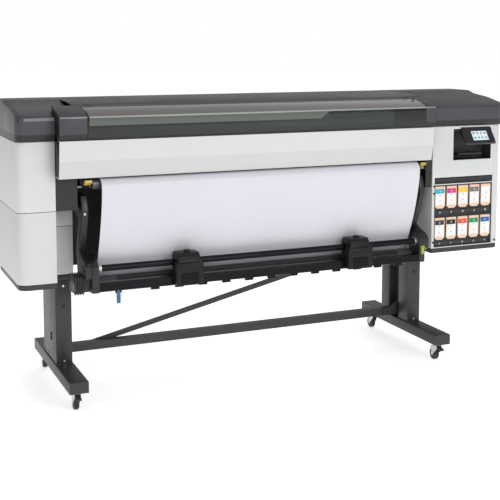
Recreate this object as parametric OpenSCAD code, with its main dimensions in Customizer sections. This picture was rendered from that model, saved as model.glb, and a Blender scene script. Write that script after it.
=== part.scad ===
// Roll-fed wide printer with a stand, an ink bay, a sheet cutter and a take-up reel.
// Front is -Y, right is +X, up is +Z, in millimetres. The origin is on the floor,
// under the middle of the machine.

/* [Machine] */
// Overall width, over the two end caps
machine_w = 2544; // [2500:4:2600]
// Height of the top cover above the floor
machine_h = 1381; // [1375:1:1390]
// Front faces of the two white towers, behind the middle of the machine
tower_front = -293; // [-300:1:-290]
// Back faces of the towers
tower_back = 206; // [200:1:210]
// Rounding of the towers' outer front corners
tower_r = 45; // [30:1:60]
// Wall thickness of the plastic covers
wall = 4; // [3:0.5:5]
// Gap between neighbouring covers
seam = 2; // [1:0.5:3]

/* [Widths] */
// Right edge of the left tower
left_tower_x = -1102; // [-1110:1:-1095]
// Left edge of the right tower
right_tower_x = 845; // [840:1:850]
// Left end of the window lid and front panel
lid_x0 = -1100; // [-1101:0.5:-1098]
// Right end of the window lid and front panel
lid_x1 = 804; // [800:1:806]
// Left end of the smoked window
window_x0 = -975; // [-990:1:-960]
// Right end of the smoked window
window_x1 = 748; // [740:1:755]

/* [Heights] */
// Underside of the dark base trays
tray_z = 557; // [556:1:560]
// Bottom edge of the white covers
cover_z0 = 582; // [580:1:585]
// Seam between the lower and upper left covers
cover_seam_z = 903; // [895:1:910]
// Top edge of the white covers
cover_z1 = 1214; // [1212:1:1216]

/* [Stand] */
// Middle of the left leg
left_leg_x = -1034; // [-1038:1:-1030]
// Middle of the right leg
right_leg_x = 866; // [862:1:870]
// Width of a leg
leg_w = 76; // [70:1:80]
// Front face of a leg
leg_y0 = -100; // [-105:1:-95]
// Back face of a leg
leg_y1 = 172; // [165:1:175]
// Length of a foot
foot_l = 772; // [760:2:776]
// Width of a foot
foot_w = 87; // [84:1:90]
// Underside of a foot
foot_z0 = 94; // [94:1:96]
// Top of a foot
foot_z1 = 146; // [142:1:148]
// Radius of a caster wheel
wheel_r = 31; // [29:0.5:32]
// Distance of a caster from the middle of its foot
caster_y = 330; // [320:1:335]

/* [Media] */
// Width of the sheet
media_w = 1631; // [1600:1:1640]
// Left edge of the sheet
media_x0 = -916; // [-920:1:-912]
// Thickness of the sheet
media_t = 1.5; // [1:0.1:2]
// Outer radius of the media on the supply roll
roll_r = 100; // [60:1:100]

/* [Take-up reel] */
// Radius of the take-up core
core_r = 36; // [34:0.5:36]
// Radius of the tension bar
bar_r = 15; // [12:0.5:15]

/* [Ink] */
// Width of a cartridge
cart_w = 60; // [56:1:62]
// Height of a cartridge
cart_h = 115; // [110:1:116]
// Depth of a cartridge
cart_d = 225; // [200:1:225]
// Distance from one cartridge to the next
cart_pitch = 70.5; // [68:0.5:71]

/* [Hidden] */
$fn = 48;

half_w = machine_w / 2;
media_x1 = media_x0 + media_w;

// Running clearance between a shaft and its hole, on the radius
run = 0.08;
// Clear space between a moving piece and what it slides past
clear = 0.4;

// The sheet lies on the platen at this height
sheet_z = 1045;
platen_top = sheet_z - 0.5;
// Middle of the drive roller and of the pinch rollers above it
roller_y = 0;
drive_r = 25;
drive_z = sheet_z - 0.3 - drive_r;
pinch_r = 9;
pinch_z = sheet_z + media_t + 0.3 + pinch_r;

// Side view of the machine: the lid, the front panel and the caps
hinge_y = -231;
hinge_z = 1366;
lid_front_y = -378;
lid_top_z = 1323;
lid_low_z = 1222;
panel_x1 = 796;
panel_low_y = -358;
panel_low_z = 1053;
cap_front_y = -313;

// Take-up reel: the bar, the core and the lower rail, seen from the side
bar_y = -330;
bar_z = 640;
core_y = -275;
core_z = 556;
rail_y0 = -365;
rail_y1 = -335;
rail_z0 = 541.5;
rail_z1 = 575.5;
// Pivot of the lever on the right arm
core_lever_x = 743;
core_lever_z = 612;
arm_w = 60;
left_arm_x = -990;
right_arm_x = 727;

// Supply roll at the back
roll_y = 305;
roll_z = 800;

// Shaft of the two edge levers
edge_shaft = [-270, 1004];

// Ink bay
bay_x0 = 861;
bay_x1 = 1216;
bay_z0 = 587;
bay_z1 = 949;
bay_y0 = -287;
cart_y0 = -290;
cart_mid_x = 1038.5;
cart_row_z = [788, 624];

// Control panel hinge
panel_hinge_y = -283;
panel_hinge_z = 1192;

// Height of the brace's top end
brace_end_z = 585;

// Shades
cap_grey = "#55545a";
cover_white = "#e4e6e5";
stand_grey = "#46464b";
steel_black = "#2a2a2c";
media_white = "#efeef4";
cart_tan = "#e2c3a6";

// ---- Helpers ----

// A box given by its limits on each axis
module block(x, y, z) {
    translate([x[0], y[0], z[0]])
        cube([x[1] - x[0], y[1] - y[0], z[1] - z[0]]);
}

// A side view (Y, Z), pulled along X from x[0] to x[1]
module side_view(x) {
    translate([x[0], 0, 0])
        rotate([90, 0, 90])
            linear_extrude(x[1] - x[0])
                children();
}

// A front view (X, Z), pulled along Y from y[0] to y[1]
module front_view(y) {
    translate([0, y[1], 0])
        rotate([90, 0, 0])
            linear_extrude(y[1] - y[0])
                children();
}

// A round bar along X through (y, z)
module bar_x(x, y, z, r) {
    translate([x[0], y, z])
        rotate([0, 90, 0])
            cylinder(h = x[1] - x[0], r = r);
}

// A round bar along Y through (x, z)
module bar_y_axis(y, x, z, r) {
    translate([x, y[1], z])
        rotate([90, 0, 0])
            cylinder(h = y[1] - y[0], r = r);
}

// Plan of a tower with one rounded front corner. outer is -1 for a left-hand corner
// and 1 for a right-hand one.
module tower_plan(x, y, r, outer) {
    inner_x = outer < 0 ? x[1] : x[0];
    corner_x = outer < 0 ? x[0] + r : x[1] - r;
    translate([x[0], y[0] + r])
        square([x[1] - x[0], y[1] - y[0] - r]);
    translate([min(inner_x, corner_x), y[0]])
        square([abs(corner_x - inner_x), r + 1]);
    translate([corner_x, y[0] + r])
        circle(r);
}

// A tower cover: four walls, open at the top and bottom
module tower_shell(x, z, outer) {
    y = [tower_front, tower_back];
    difference() {
        translate([0, 0, z[0]])
            linear_extrude(z[1] - z[0])
                tower_plan(x, y, tower_r, outer);
        translate([0, 0, z[0] - 1])
            linear_extrude(z[1] - z[0] + 2)
                tower_plan([x[0] + wall, x[1] - wall], [y[0] + wall, y[1] - wall],
                           tower_r - wall, outer);
    }
}

// ---- Stand ----

module foot(x) {
    color(stand_grey)
        difference() {
            block([x - foot_w / 2, x + foot_w / 2], [-foot_l / 2 + 3, foot_l / 2 - 3],
                  [foot_z0, foot_z1]);
            block([x - foot_w / 2 + 3, x + foot_w / 2 - 3], [-foot_l / 2, foot_l / 2],
                  [foot_z0 + 3, foot_z1 - 3]);
        }
}

module left_foot() {
    foot(left_leg_x);
}

module right_foot() {
    foot(right_leg_x);
}

// A leg is a deep box section. inner is the side that carries the cable channel.
module leg(x, inner) {
    channel_x = inner > 0 ? [x + leg_w / 2 - 45, x + leg_w / 2 + 1]
                          : [x - leg_w / 2 - 1, x - leg_w / 2 + 45];
    hollow_x = inner > 0 ? [x - leg_w / 2 + 3, x + leg_w / 2 - 48]
                         : [x - leg_w / 2 + 48, x + leg_w / 2 - 3];
    color(stand_grey)
        difference() {
            block([x - leg_w / 2, x + leg_w / 2], [leg_y0, leg_y1], [foot_z1, tray_z]);
            block(channel_x, [-8, 90], [foot_z1 - 1, tray_z + 1]);
            block(hollow_x, [leg_y0 + 3, leg_y1 - 3], [foot_z1 - 1, tray_z + 1]);
            for (y = [[leg_y0 + 3, -11], [93, leg_y1 - 3]])
                block([x - leg_w / 2 + 3, x + leg_w / 2 - 3], y, [foot_z1 - 1, tray_z + 1]);
        }
}

module left_leg() {
    leg(left_leg_x, 1);
}

module right_leg() {
    leg(right_leg_x, -1);
}

// The cross beam runs between the legs' channels, with a gusset plate at its right end
module cross_beam() {
    x = [left_leg_x + leg_w / 2 - 45, right_leg_x - leg_w / 2 + 45];
    color(stand_grey) {
        difference() {
            block(x, [20, 60], [162, 202]);
            block([x[0] - 1, x[1] + 1], [23, 57], [165, 199]);
        }
        front_view([12, 19.5])
            polygon([[x[1] - 130, 166], [x[1], 166], [x[1], 250], [x[1] - 44, 232],
                     [x[1] - 90, 202], [x[1] - 130, 202]]);
    }
}

// A flat bar from the beam's left end up to the right-hand saddle
module diagonal_brace() {
    end_x = 806;
    color(stand_grey)
        front_view([60, 66])
            polygon([[-975, 164], [-905, 164], [end_x, brace_end_z - 28],
                     [end_x, brace_end_z], [-930, 185], [-975, 182]]);
}

// Caster plates, foot end plates and the screws that show on the legs
module stand_hardware() {
    screw_r = 5;
    for (x = [left_leg_x, right_leg_x]) {
        color(stand_grey)
            for (y = [-foot_l / 2, foot_l / 2 - 3])
                block([x - foot_w / 2, x + foot_w / 2], [y, y + 3], [foot_z0, foot_z1]);
        color("silver")
            for (y = [-caster_y, caster_y]) {
                block([x - 35, x + 35], [y - 35, y + 35], [foot_z0 - 4, foot_z0]);
                translate([x, y, foot_z0 - 7])
                    cylinder(h = 3, r = 22);
            }
        color("dimgray")
            for (z = [162, 520])
                bar_y_axis([leg_y0 - 3, leg_y0], x, z, screw_r);
    }
    color("dimgray")
        for (y = [0, 60], z = [166, 190])
            bar_x([left_leg_x - leg_w / 2 - 3, left_leg_x - leg_w / 2], y + 10, z, screw_r);
}

// ---- Casters: x and y are the swivel's middle ----

caster_trail = 20;
// Middle of the brake lever's pin, from the swivel's middle and from the floor
brake_pin = [-15, 71];
fork_top = foot_z0 - 7.4;

module caster_fork(x, y, braked) {
    cheek = [13.5, 16];
    axle_y = y + caster_trail;
    color("silver") {
        translate([x, y, fork_top - 5])
            cylinder(h = 5, r = 24);
        for (s = [-1, 1])
            side_view([x + min(s * cheek[0], s * cheek[1]), x + max(s * cheek[0], s * cheek[1])]) {
                polygon([[y - 22, fork_top - 4], [y + 22, fork_top - 4], [axle_y + 9, wheel_r],
                         [axle_y - 9, wheel_r], [y - 22, fork_top - 24]]);
                translate([axle_y, wheel_r])
                    circle(9);
            }
        bar_x([x - 18, x + 18], axle_y, wheel_r, 4);
        if (braked)
            bar_x([x - 18, x + 18], y + brake_pin[0], brake_pin[1], 2.5);
    }
}

module caster_wheel(x, y) {
    axle_y = y + caster_trail;
    color("#1d1d1f")
        translate([x - 11, axle_y, wheel_r])
            rotate([0, 90, 0])
                rotate_extrude()
                    polygon([[4 + run, 0], [12, 0], [12, 3], [24, 3], [24, 0], [28, 0],
                             [wheel_r, 4], [wheel_r, 18], [28, 22], [24, 22], [24, 19],
                             [12, 19], [12, 22], [4 + run, 22]]);
}

module brake_lever(x, y) {
    pin = [y + brake_pin[0], brake_pin[1]];
    color("#1d1d1f")
        difference() {
            side_view([x - 12, x + 12]) {
                polygon([[y - 17, 77], [y - 26, 76], [y - 52, 66], [y - 54, 61], [y - 50, 60],
                         [y - 24, 68], [y - 17, 66]]);
                translate(pin)
                    circle(6);
            }
            bar_x([x - 13, x + 13], pin[0], pin[1], 2.5 + run);
        }
}

module caster_fork_fl() { caster_fork(left_leg_x, -caster_y, true); }
module caster_fork_fr() { caster_fork(right_leg_x, -caster_y, true); }
module caster_fork_bl() { caster_fork(left_leg_x, caster_y, false); }
module caster_fork_br() { caster_fork(right_leg_x, caster_y, false); }
module caster_wheel_fl() { caster_wheel(left_leg_x, -caster_y); }
module caster_wheel_fr() { caster_wheel(right_leg_x, -caster_y); }
module caster_wheel_bl() { caster_wheel(left_leg_x, caster_y); }
module caster_wheel_br() { caster_wheel(right_leg_x, caster_y); }
module brake_lever_fl() { brake_lever(left_leg_x, -caster_y); }
module brake_lever_fr() { brake_lever(right_leg_x, -caster_y); }

// ---- Chassis ----

beam_y = [-125, 125];
beam_z = [620, 985];
beam_t = 2;

// A steel box section from tower to tower, with a saddle over each leg
module main_beam() {
    x = [left_tower_x + 4, right_tower_x - 2];
    color(steel_black) {
        difference() {
            block(x, beam_y, beam_z);
            block([x[0] - 1, x[1] + 1], [beam_y[0] + beam_t, beam_y[1] - beam_t],
                  [beam_z[0] + beam_t, beam_z[1] - beam_t]);
        }
        for (s = [[left_leg_x - 38, left_leg_x + 38], [806, right_tower_x - 2]])
            block(s, [-80, 80], [tray_z, beam_z[0]]);
    }
}

// The end frames beside the towers, the dark ends of the front panel and the
// rear cradles of the supply roll
module side_brackets() {
    bores = [[roller_y, drive_z, 8 + run], [roller_y, pinch_z, 4 + run],
             [edge_shaft[0], edge_shaft[1], 5 + run]];
    color(steel_black) {
        for (frame = [[lid_x0, -1004, -1], [806, right_tower_x - 2, 1]]) {
            x = [frame[0], frame[1]];
            // Hollow from the tower's side, with 6 mm left towards the platen
            hollow = frame[2] < 0 ? [x[0] - 1, x[1] - 6] : [x[0] + 6, x[1] + 1];
            difference() {
                union() {
                    block(x, [-290, -135], [904, 1210]);
                    block(x, [-136, 196], [beam_z[1], 1210]);
                }
                block(hollow, [-286, -139], [908, 1206]);
                block(hollow, [-140, 192], [beam_z[1] + 4, 1206]);
                for (b = bores)
                    bar_x([x[0] - 1, x[1] + 1], b[0], b[1], b[2]);
            }
        }
        for (x = [[lid_x0, lid_x0 + 4], [panel_x1 - 4, panel_x1]])
            side_view(x)
                polygon([[-289, 1058], [-353.5, 1058], [-366.5, 1132], [-373, 1216], [-289, 1216]]);
        for (x = [[-986, -974], [776, 788]])
            difference() {
                side_view(x)
                    polygon([[beam_y[1], 700], [beam_y[1], 860], [190, 860], [260, 825],
                             [roll_y + 30, 825], [roll_y + 30, 770], [roll_y, 750]]);
                bar_x([x[0] - 1, x[1] + 1], roll_y, roll_z, 15.4);
                block([x[0] - 1, x[1] + 1], [roll_y - 15.4, roll_y + 15.4], [roll_z, 900]);
            }
    }
}

// Dark trays under the two towers
module base_trays() {
    y = [tower_front + 2, tower_back - 2];
    color(stand_grey) {
        difference() {
            union() {
                translate([0, 0, tray_z])
                    linear_extrude(cover_z0 - seam - tray_z)
                        tower_plan([-half_w + 3, left_tower_x], y, tower_r - 3, -1);
                block([left_tower_x - 1, -988], [-132, -80], [tray_z, cover_z0 - seam]);
            }
            block([-half_w + 12, left_tower_x - 12], [y[0] + 48, y[1] - 12],
                  [tray_z + 4, cover_z0]);
        }
        difference() {
            translate([0, 0, tray_z])
                linear_extrude(cover_z0 - seam - tray_z)
                    tower_plan([right_tower_x, half_w - 3], y, tower_r - 3, 1);
            block([right_tower_x + 70, half_w - 15], [y[0] + 48, y[1] - 12],
                  [tray_z + 4, cover_z0]);
        }
    }
}

// The printing table on its two ribs, with a gap for the drive roller
module platen() {
    color("#3c3d40")
        side_view([-948, 736]) {
            translate([-322, platen_top - 24])
                circle(24);
            translate([-322, platen_top - 17])
                square([292, 17]);
            translate([-110, beam_z[1]])
                square([10, platen_top - beam_z[1] - 16]);
            translate([30, platen_top - 12])
                square([91, 12]);
            translate([112, beam_z[1]])
                square([8, platen_top - beam_z[1] - 11]);
            intersection() {
                translate([120, platen_top - 40])
                    circle(40);
                translate([119, platen_top - 40])
                    square([41, 40]);
            }
        }
}

// The back cover and the plate with the mains inlet
module rear_panel() {
    inlet_x = 1140;
    inlet_z = 690;
    color(cover_white)
        difference() {
            union() {
                block([lid_x0 + 2, right_tower_x - 2], [196, 202], [1078, cover_z1]);
                block([cover_x0, lid_x1 + 6], [196, 202], [cover_z1 - 1, 1326]);
            }
            for (x = [-800:100:500])
                block([x, x + 60], [195, 203], [1260, 1266]);
        }
    color(steel_black)
        difference() {
            union() {
                block([inlet_x - 40, inlet_x + 40], [tower_back, tower_back + 3],
                      [inlet_z - 40, inlet_z + 40]);
                block([inlet_x - 16, inlet_x + 16], [tower_back - 18, tower_back + 5],
                      [inlet_z - 13, inlet_z + 13]);
            }
            block([inlet_x - 13, inlet_x + 13], [tower_back - 15, tower_back + 6],
                  [inlet_z - 10, inlet_z + 10]);
        }
    color("gold")
        for (p = [[-7, -2], [0, 3], [7, -2]])
            block([inlet_x + p[0] - 1, inlet_x + p[0] + 1], [tower_back - 15, tower_back - 2],
                  [inlet_z + p[1] - 3, inlet_z + p[1] + 3]);
}

// ---- Covers ----

module left_cover_upper() {
    color(cover_white)
        tower_shell([-half_w, left_tower_x], [cover_seam_z + seam / 2, cover_z1], -1);
}

// Right edge of the infill panel, beside the take-up arm
infill_x = -992;

// The lower cover and the set-back infill panel beside it
module left_cover_lower() {
    color(cover_white) {
        tower_shell([-half_w, left_tower_x], [cover_z0, cover_seam_z - seam / 2], -1);
        block([left_tower_x + seam, infill_x], [-134, -130], [cover_z0, 806]);
        block([left_tower_x + seam, infill_x], [-134, -130], [808, 903]);
    }
}

// Side view of an end cap: inset thins it for the hollow inside
module cap_view(inset) {
    top = machine_h - inset;
    front = cap_front_y + inset;
    polygon([[tower_back - inset, cover_z1 + 2 - 2 * inset], [tower_back - inset, top],
             [20, top], [-36, top - 15], [-150, top - 27], [-272, top - 51],
             [front + 8, top - 62], [front, top - 74], [front, cover_z1 + 27],
             [front + 14, cover_z1 + 2], [front + 14, cover_z1 + 2 - 2 * inset]]);
}

// Plan of an end cap, with its outer front corner rounded
module cap_plan(x, inset, outer) {
    tower_plan([x[0] + inset, x[1] - inset],
               [cap_front_y + inset, tower_back - inset], tower_r + 5 - inset, outer);
}

module cap_solid(x, inset, outer) {
    intersection() {
        side_view(x)
            cap_view(inset);
        translate([0, 0, 1100])
            linear_extrude(400)
                cap_plan(x, inset, outer);
    }
}

cover_x0 = -1006;

// The left cap wraps round the back of the lid's end, so its shell follows that corner
module left_cap() {
    x = [-half_w, cover_x0 - seam];
    notch_x = lid_x0 - seam;
    notch_y = hinge_y + 4;
    color(cap_grey)
        difference() {
            cap_solid(x, 0, -1);
            block([notch_x, cover_x0], [cap_front_y - 1, notch_y], [1100, 1500]);
            difference() {
                cap_solid(x, wall, -1);
                block([notch_x - wall, cover_x0], [cap_front_y - 1, notch_y + wall], [1100, 1500]);
            }
        }
}

module right_cap() {
    color(cap_grey)
        difference() {
            cap_solid([lid_x1 + 8, half_w], 0, 1);
            cap_solid([lid_x1 + 8, half_w], wall, 1);
        }
}

// The lid's two hinges: their places along X, and the pin's middle and radius
hinge_at = [-940, 712];
hinge_pin = [hinge_y - 5, hinge_z - 6];
pin_r = 2.5;

// The fixed cover behind the lid, with the lid's hinge arms and its inner posts
module top_cover() {
    front = hinge_y + 7;
    low = machine_h - 32;
    color(cap_grey) {
        side_view([cover_x0, lid_x1 + 6])
            polygon([[tower_back, 1330], [tower_back, machine_h - 8], [tower_back - 10, machine_h],
                     [20, machine_h], [-110, machine_h - 4], [front, machine_h - 13],
                     [front, low], [front + 5, low], [front + 5, machine_h - 18],
                     [-110, machine_h - 9], [20, machine_h - 5], [tower_back - 12, machine_h - 5],
                     [tower_back - 5, machine_h - 10], [tower_back - 5, 1330]]);
        for (x = hinge_at)
            difference() {
                side_view([x - 15, x + 15]) {
                    translate(hinge_pin)
                        circle(5);
                    polygon([[hinge_pin[0], hinge_pin[1] - 5], [front + 1, low + 1],
                             [front + 1, low + 12], [hinge_pin[0], hinge_pin[1] + 4]]);
                }
                bar_x([x - 16, x + 16], hinge_pin[0], hinge_pin[1], pin_r + run);
            }
        for (x = [-900, -50, 780])
            block([x, x + 6], [-62, -12], [1300, machine_h - 4]);
    }
}

// The white panel under the window, upper half upright and lower half sloping back
module front_panel() {
    color(cover_white)
        side_view([lid_x0, panel_x1])
            polygon([[lid_front_y, lid_low_z - 2], [-371, 1131], [panel_low_y, panel_low_z],
                     [-291, panel_low_z], [-291, panel_low_z + 4], [panel_low_y + 3.5, panel_low_z + 4],
                     [-367, 1132], [lid_front_y + 4.4, lid_low_z - 5], [-330, lid_low_z - 5],
                     [-330, lid_low_z - 2]]);
}

// The lid's top: the end of its flatter part, and its height at any depth
knee_y = -340;
knee_z = 1339.5;
hinge_strip_y = hinge_y - 32;

function lid_z(y) = y > knee_y
    ? knee_z + (hinge_z - knee_z) * (y - knee_y) / (hinge_y - knee_y)
    : lid_top_z + (knee_z - lid_top_z) * (y - lid_front_y) / (knee_y - lid_front_y);

// The lid's dark ends, its hinge strip with two pins, and its lower edge
module lid_frame() {
    strip_t = 12;
    color(cap_grey) {
        for (x = [[lid_x0, window_x0], [window_x1, lid_x1]])
            difference() {
                side_view(x)
                    polygon([[hinge_y, hinge_z], [knee_y, knee_z], [lid_front_y, lid_top_z],
                             [lid_front_y, lid_low_z + 26], [lid_front_y + 6, lid_low_z],
                             [-332, lid_low_z], [hinge_y, hinge_z - 28]]);
                side_view([x[0] + 4, x[1] - 4])
                    polygon([[hinge_y - 4, hinge_z - 6], [knee_y, knee_z - 5],
                             [lid_front_y + 4, lid_top_z - 4], [lid_front_y + 4, lid_low_z + 26],
                             [lid_front_y + 9, lid_low_z - 1], [-320, lid_low_z - 1],
                             [hinge_y - 4, hinge_z - 42]]);
            }
        difference() {
            side_view([window_x0, window_x1])
                polygon([[hinge_y, hinge_z], [hinge_strip_y, lid_z(hinge_strip_y)],
                         [hinge_strip_y, lid_z(hinge_strip_y) - strip_t],
                         [hinge_y, hinge_z - strip_t]]);
            for (x = hinge_at)
                block([x - 16, x + 16], [hinge_y - 15, hinge_y + 1], [1300, 1400]);
        }
        for (x = hinge_at)
            bar_x([x - 17, x + 17], hinge_pin[0], hinge_pin[1], pin_r);
        side_view([window_x0, window_x1])
            polygon([[lid_front_y, lid_low_z + 6], [lid_front_y + 8, lid_low_z + 6],
                     [lid_front_y + 10, lid_low_z], [lid_front_y + 3, lid_low_z]]);
    }
}

module lid_window() {
    color([0.2, 0.23, 0.22, 0.5])
        side_view([window_x0 + 0.5, window_x1 - 0.5])
            polygon([[hinge_strip_y - 0.5, lid_z(hinge_strip_y - 0.5)], [knee_y, knee_z],
                     [lid_front_y + 4, lid_z(lid_front_y + 4)], [lid_front_y, lid_top_z - 5],
                     [lid_front_y, lid_low_z + 6.5], [lid_front_y + 4, lid_low_z + 6.5],
                     [lid_front_y + 4, lid_top_z - 6], [lid_front_y + 6, lid_top_z - 3.5],
                     [knee_y, knee_z - 4.3], [hinge_strip_y - 0.5, lid_z(hinge_strip_y - 0.5) - 4.3]]);
}

// ---- Printing and cutting ----

rod_y = -95;
rod_z = 1190;
rod_r = 10;
carriage_x = [594, 790];
blade_y = -262;
blade_z = 1068;
chamber_x = [-1004, 806];

// The beam that carries the carriage's rod, with a row of notches along its face
module carriage_rail() {
    color("#4a4d4c") {
        difference() {
            block(chamber_x, [-62, -12], [1080, 1300]);
            block([chamber_x[0] - 1, chamber_x[1] + 1], [-58, -16], [1084, 1296]);
            for (i = [0:14])
                block([-900 + 106 * i, -870 + 106 * i], [-63, -57], [1262, 1274]);
        }
        bar_x(chamber_x, rod_y, rod_z, rod_r);
    }
}

// The belt loop, its two pulleys and the motor at the right-hand end
module carriage_drive() {
    pulley_r = 14;
    ends = [-975, 560];
    belt_y = [-78, -70];
    for (x = ends) {
        color("silver")
            bar_y_axis(belt_y, x, 1240, pulley_r);
        color("dimgray")
            bar_y_axis([-70, -62], x, 1240, 5);
    }
    color("#1b1b1d")
        difference() {
            union() {
                for (x = ends)
                    bar_y_axis(belt_y, x, 1240, pulley_r + 1.6);
                block(ends, belt_y, [1240 - pulley_r - 1.6, 1240 + pulley_r + 1.6]);
            }
            for (x = ends)
                bar_y_axis([belt_y[0] - 1, belt_y[1] + 1], x, 1240, pulley_r);
            block(ends, [belt_y[0] - 1, belt_y[1] + 1], [1240 - pulley_r, 1240 + pulley_r]);
        }
    color("dimgray")
        bar_y_axis([-12, 60], ends[1], 1240, 30);
}

// The print carriage with its head plate
module carriage() {
    color("#3a3b3e")
        difference() {
            union() {
                side_view(carriage_x)
                    polygon([[-320, 1062], [-320, 1180], [-290, 1208], [-80, 1214], [-80, 1150],
                             [-110, 1062]]);
                for (x = carriage_x)
                    block([min(x, x + sign(700 - x) * 30), max(x, x + sign(700 - x) * 30)],
                          [-300, -130], [1208, 1230]);
            }
            bar_x([carriage_x[0] - 1, carriage_x[1] + 1], rod_y, rod_z, rod_r + run);
            bar_x([carriage_x[0] - 1, carriage_x[0] + 14], blade_y, blade_z, 4 + run);
        }
    color("silver")
        for (i = [0:3])
            block([carriage_x[0] + 20 + 42 * i, carriage_x[0] + 50 + 42 * i], [-284, -140],
                  [1054, 1062]);
}

// The round blade that trims the sheet, on its own pin beside the carriage
module cutter_wheel() {
    color("silver") {
        bar_x([carriage_x[0] - 4, carriage_x[0] - 2.5], blade_y, blade_z, 18);
        bar_x([carriage_x[0] - 8, carriage_x[0] + 12], blade_y, blade_z, 4);
    }
}

module drive_roller() {
    color("#5a5a5c") {
        bar_x([-945, 740], roller_y, drive_z, drive_r);
        bar_x([-1020, -945], roller_y, drive_z, 8);
        bar_x([740, 825], roller_y, drive_z, 8);
    }
}

module pinch_rollers() {
    color("silver")
        bar_x([-1020, 825], roller_y, pinch_z, 4);
    color("#2b2b2d")
        for (i = [0:14])
            difference() {
                bar_x([-895 + 112 * i, -855 + 112 * i], roller_y, pinch_z, pinch_r);
                bar_x([-896 + 112 * i, -854 + 112 * i], roller_y, pinch_z, 4);
            }
}

// ---- Media ----

// The supply roll on its spindle, with a flange at each end
module media_roll() {
    color(steel_black) {
        bar_x([-996, 798], roll_y, roll_z, 15);
        for (x = [[media_x0 - 12, media_x0 - 0.5], [media_x1 + 0.5, media_x1 + 12]])
            difference() {
                bar_x(x, roll_y, roll_z, 62);
                bar_x([x[0] - 1, x[1] + 1], roll_y, roll_z, 15);
            }
    }
    color(media_white)
        difference() {
            bar_x([media_x0, media_x1], roll_y, roll_z, roll_r);
            bar_x([media_x0 - 1, media_x1 + 1], roll_y, roll_z, 38);
        }
}

function arc(c, r, a0, a1, n) =
    [for (i = [0:n]) c + r * [cos(a0 + (a1 - a0) * i / n), sin(a0 + (a1 - a0) * i / n)]];

// The sheet's middle line: up from the roll, over the platen, down in a shallow bow that
// leans back as it goes, and round behind the core
sheet_mid = sheet_z + media_t / 2;
lip_r = 40;
bow_top = [-380, sheet_mid - lip_r];
bow_back = 142;
bow_drop = 436;
bow_power = 1.55;
core_wrap_r = 39.4;
sheet_line = concat(
    [[roll_y - roll_r - media_t / 2 - 0.5, roll_z]],
    arc([120, platen_top - 40], 40.5 + media_t / 2, 0, 90, 8),
    arc([bow_top[0] + lip_r, bow_top[1]], lip_r, 90, 180, 8),
    [for (i = [1:12]) bow_top + [bow_back * pow(i / 12, bow_power), -bow_drop * i / 12]],
    arc([core_y, core_z], core_wrap_r, 12, -90, 8)
);

// The left-hand normal of a line at point i
function normal_at(p, i) =
    let (a = p[max(i - 1, 0)], b = p[min(i + 1, len(p) - 1)], d = (b - a) / norm(b - a))
    [-d[1], d[0]];

module media_sheet() {
    line = sheet_line;
    n = len(line);
    offset_line = [for (i = [0:n - 1]) line[i] + normal_at(line, i) * media_t / 2];
    other_line = [for (i = [0:n - 1]) line[n - 1 - i] - normal_at(line, n - 1 - i) * media_t / 2];
    color(media_white)
        side_view([media_x0, media_x1])
            polygon(concat(offset_line, other_line));
}

// ---- Right tower ----

display_x = [970, 1203];
display_z = [1037, 1198];

module right_cover() {
    color(cover_white)
        difference() {
            union() {
                tower_shell([right_tower_x, half_w], [cover_z0, cover_z1], 1);
                block([display_x[0] - 3, display_x[1] + 3], [tower_front + 1, -212],
                      [display_z[0] - 3, display_z[1] + 3]);
            }
            block(display_x, [tower_front - 1, -215], display_z);
            block([bay_x0 - 0.5, bay_x1 + 0.5], [tower_front - 1, tower_front + wall + 1],
                  [bay_z0 - 0.5, bay_z1 + 0.5]);
            block([1220.5, 1222.5], [tower_front - 1, tower_front + 1.5], [cover_z0 - 1, cover_z1 + 1]);
            block([1140 - 17, 1140 + 17], [tower_back - 10, tower_back + 1], [676, 704]);
            bar_x([display_x[0] - 4, display_x[1] + 4], panel_hinge_y, panel_hinge_z, 3 + run);
        }
}

function cart_x(i) = cart_mid_x + ((i - 1) % 5 - 2) * cart_pitch;
function cart_z(i) = cart_row_z[i > 5 ? 1 : 0];

// The dark housing behind the front cover, with a pocket for each cartridge
module ink_bay() {
    color("#26262a")
        difference() {
            block([bay_x0, bay_x1], [bay_y0, -50], [bay_z0, bay_z1]);
            for (i = [1:10])
                block([cart_x(i) - cart_w / 2 - 1, cart_x(i) + cart_w / 2 + 1], [bay_y0 - 1, -60],
                      [cart_z(i) - 1, cart_z(i) + cart_h + 1]);
            for (z = [[916, 946], [744, 780], [592, 616]])
                block([bay_x0 + 6, bay_x1 - 6], [bay_y0 - 1, bay_y0 + 4], z);
        }
    color("#26262a")
        for (x = [930, 1120])
            block([x, x + 40], [-200, -60], [tray_z + 4, bay_z0]);
}

// A box of ink with its two lower corners cut off
module cartridge(i) {
    x = cart_x(i);
    z = cart_z(i);
    cut = 12;
    color(cart_tan)
        front_view([cart_y0, cart_y0 + cart_d])
            polygon([[x - cart_w / 2, z + cart_h], [x + cart_w / 2, z + cart_h],
                     [x + cart_w / 2, z + cut], [x + cart_w / 2 - cut, z],
                     [x - cart_w / 2 + cut, z], [x - cart_w / 2, z + cut]]);
}

// The tilting control panel: its top edge laps the cover and its hinge is inside
module control_panel() {
    color("#303033")
        side_view([1011, 1193])
            polygon([[-297, 1206], [-352, 1126], [-341, 1118], [-280, 1186], [-279, 1195],
                     [-294.5, 1196.5], [-294.5, 1206]]);
    color("#303033")
        bar_x([display_x[0] - 2.6, display_x[1] + 2.6], panel_hinge_y, panel_hinge_z, 3);
}

// ---- Take-up reel ----

// Outer plate of an arm, seen from the side
module arm_view() {
    polygon([[beam_y[0], 965], [-290, 965], [-313, 900], [-313, 876], [-275, 778], [-240, 712],
             [-285, 690], [-335, 676], [-360, 655], [-362, 605], [-325, 586], [-313, 560],
             [-305, 531], [-232, 531], [-205, 600], [-185, 700], [-215, 790], [-240, 860],
             [beam_y[0], 880]]);
}

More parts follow.
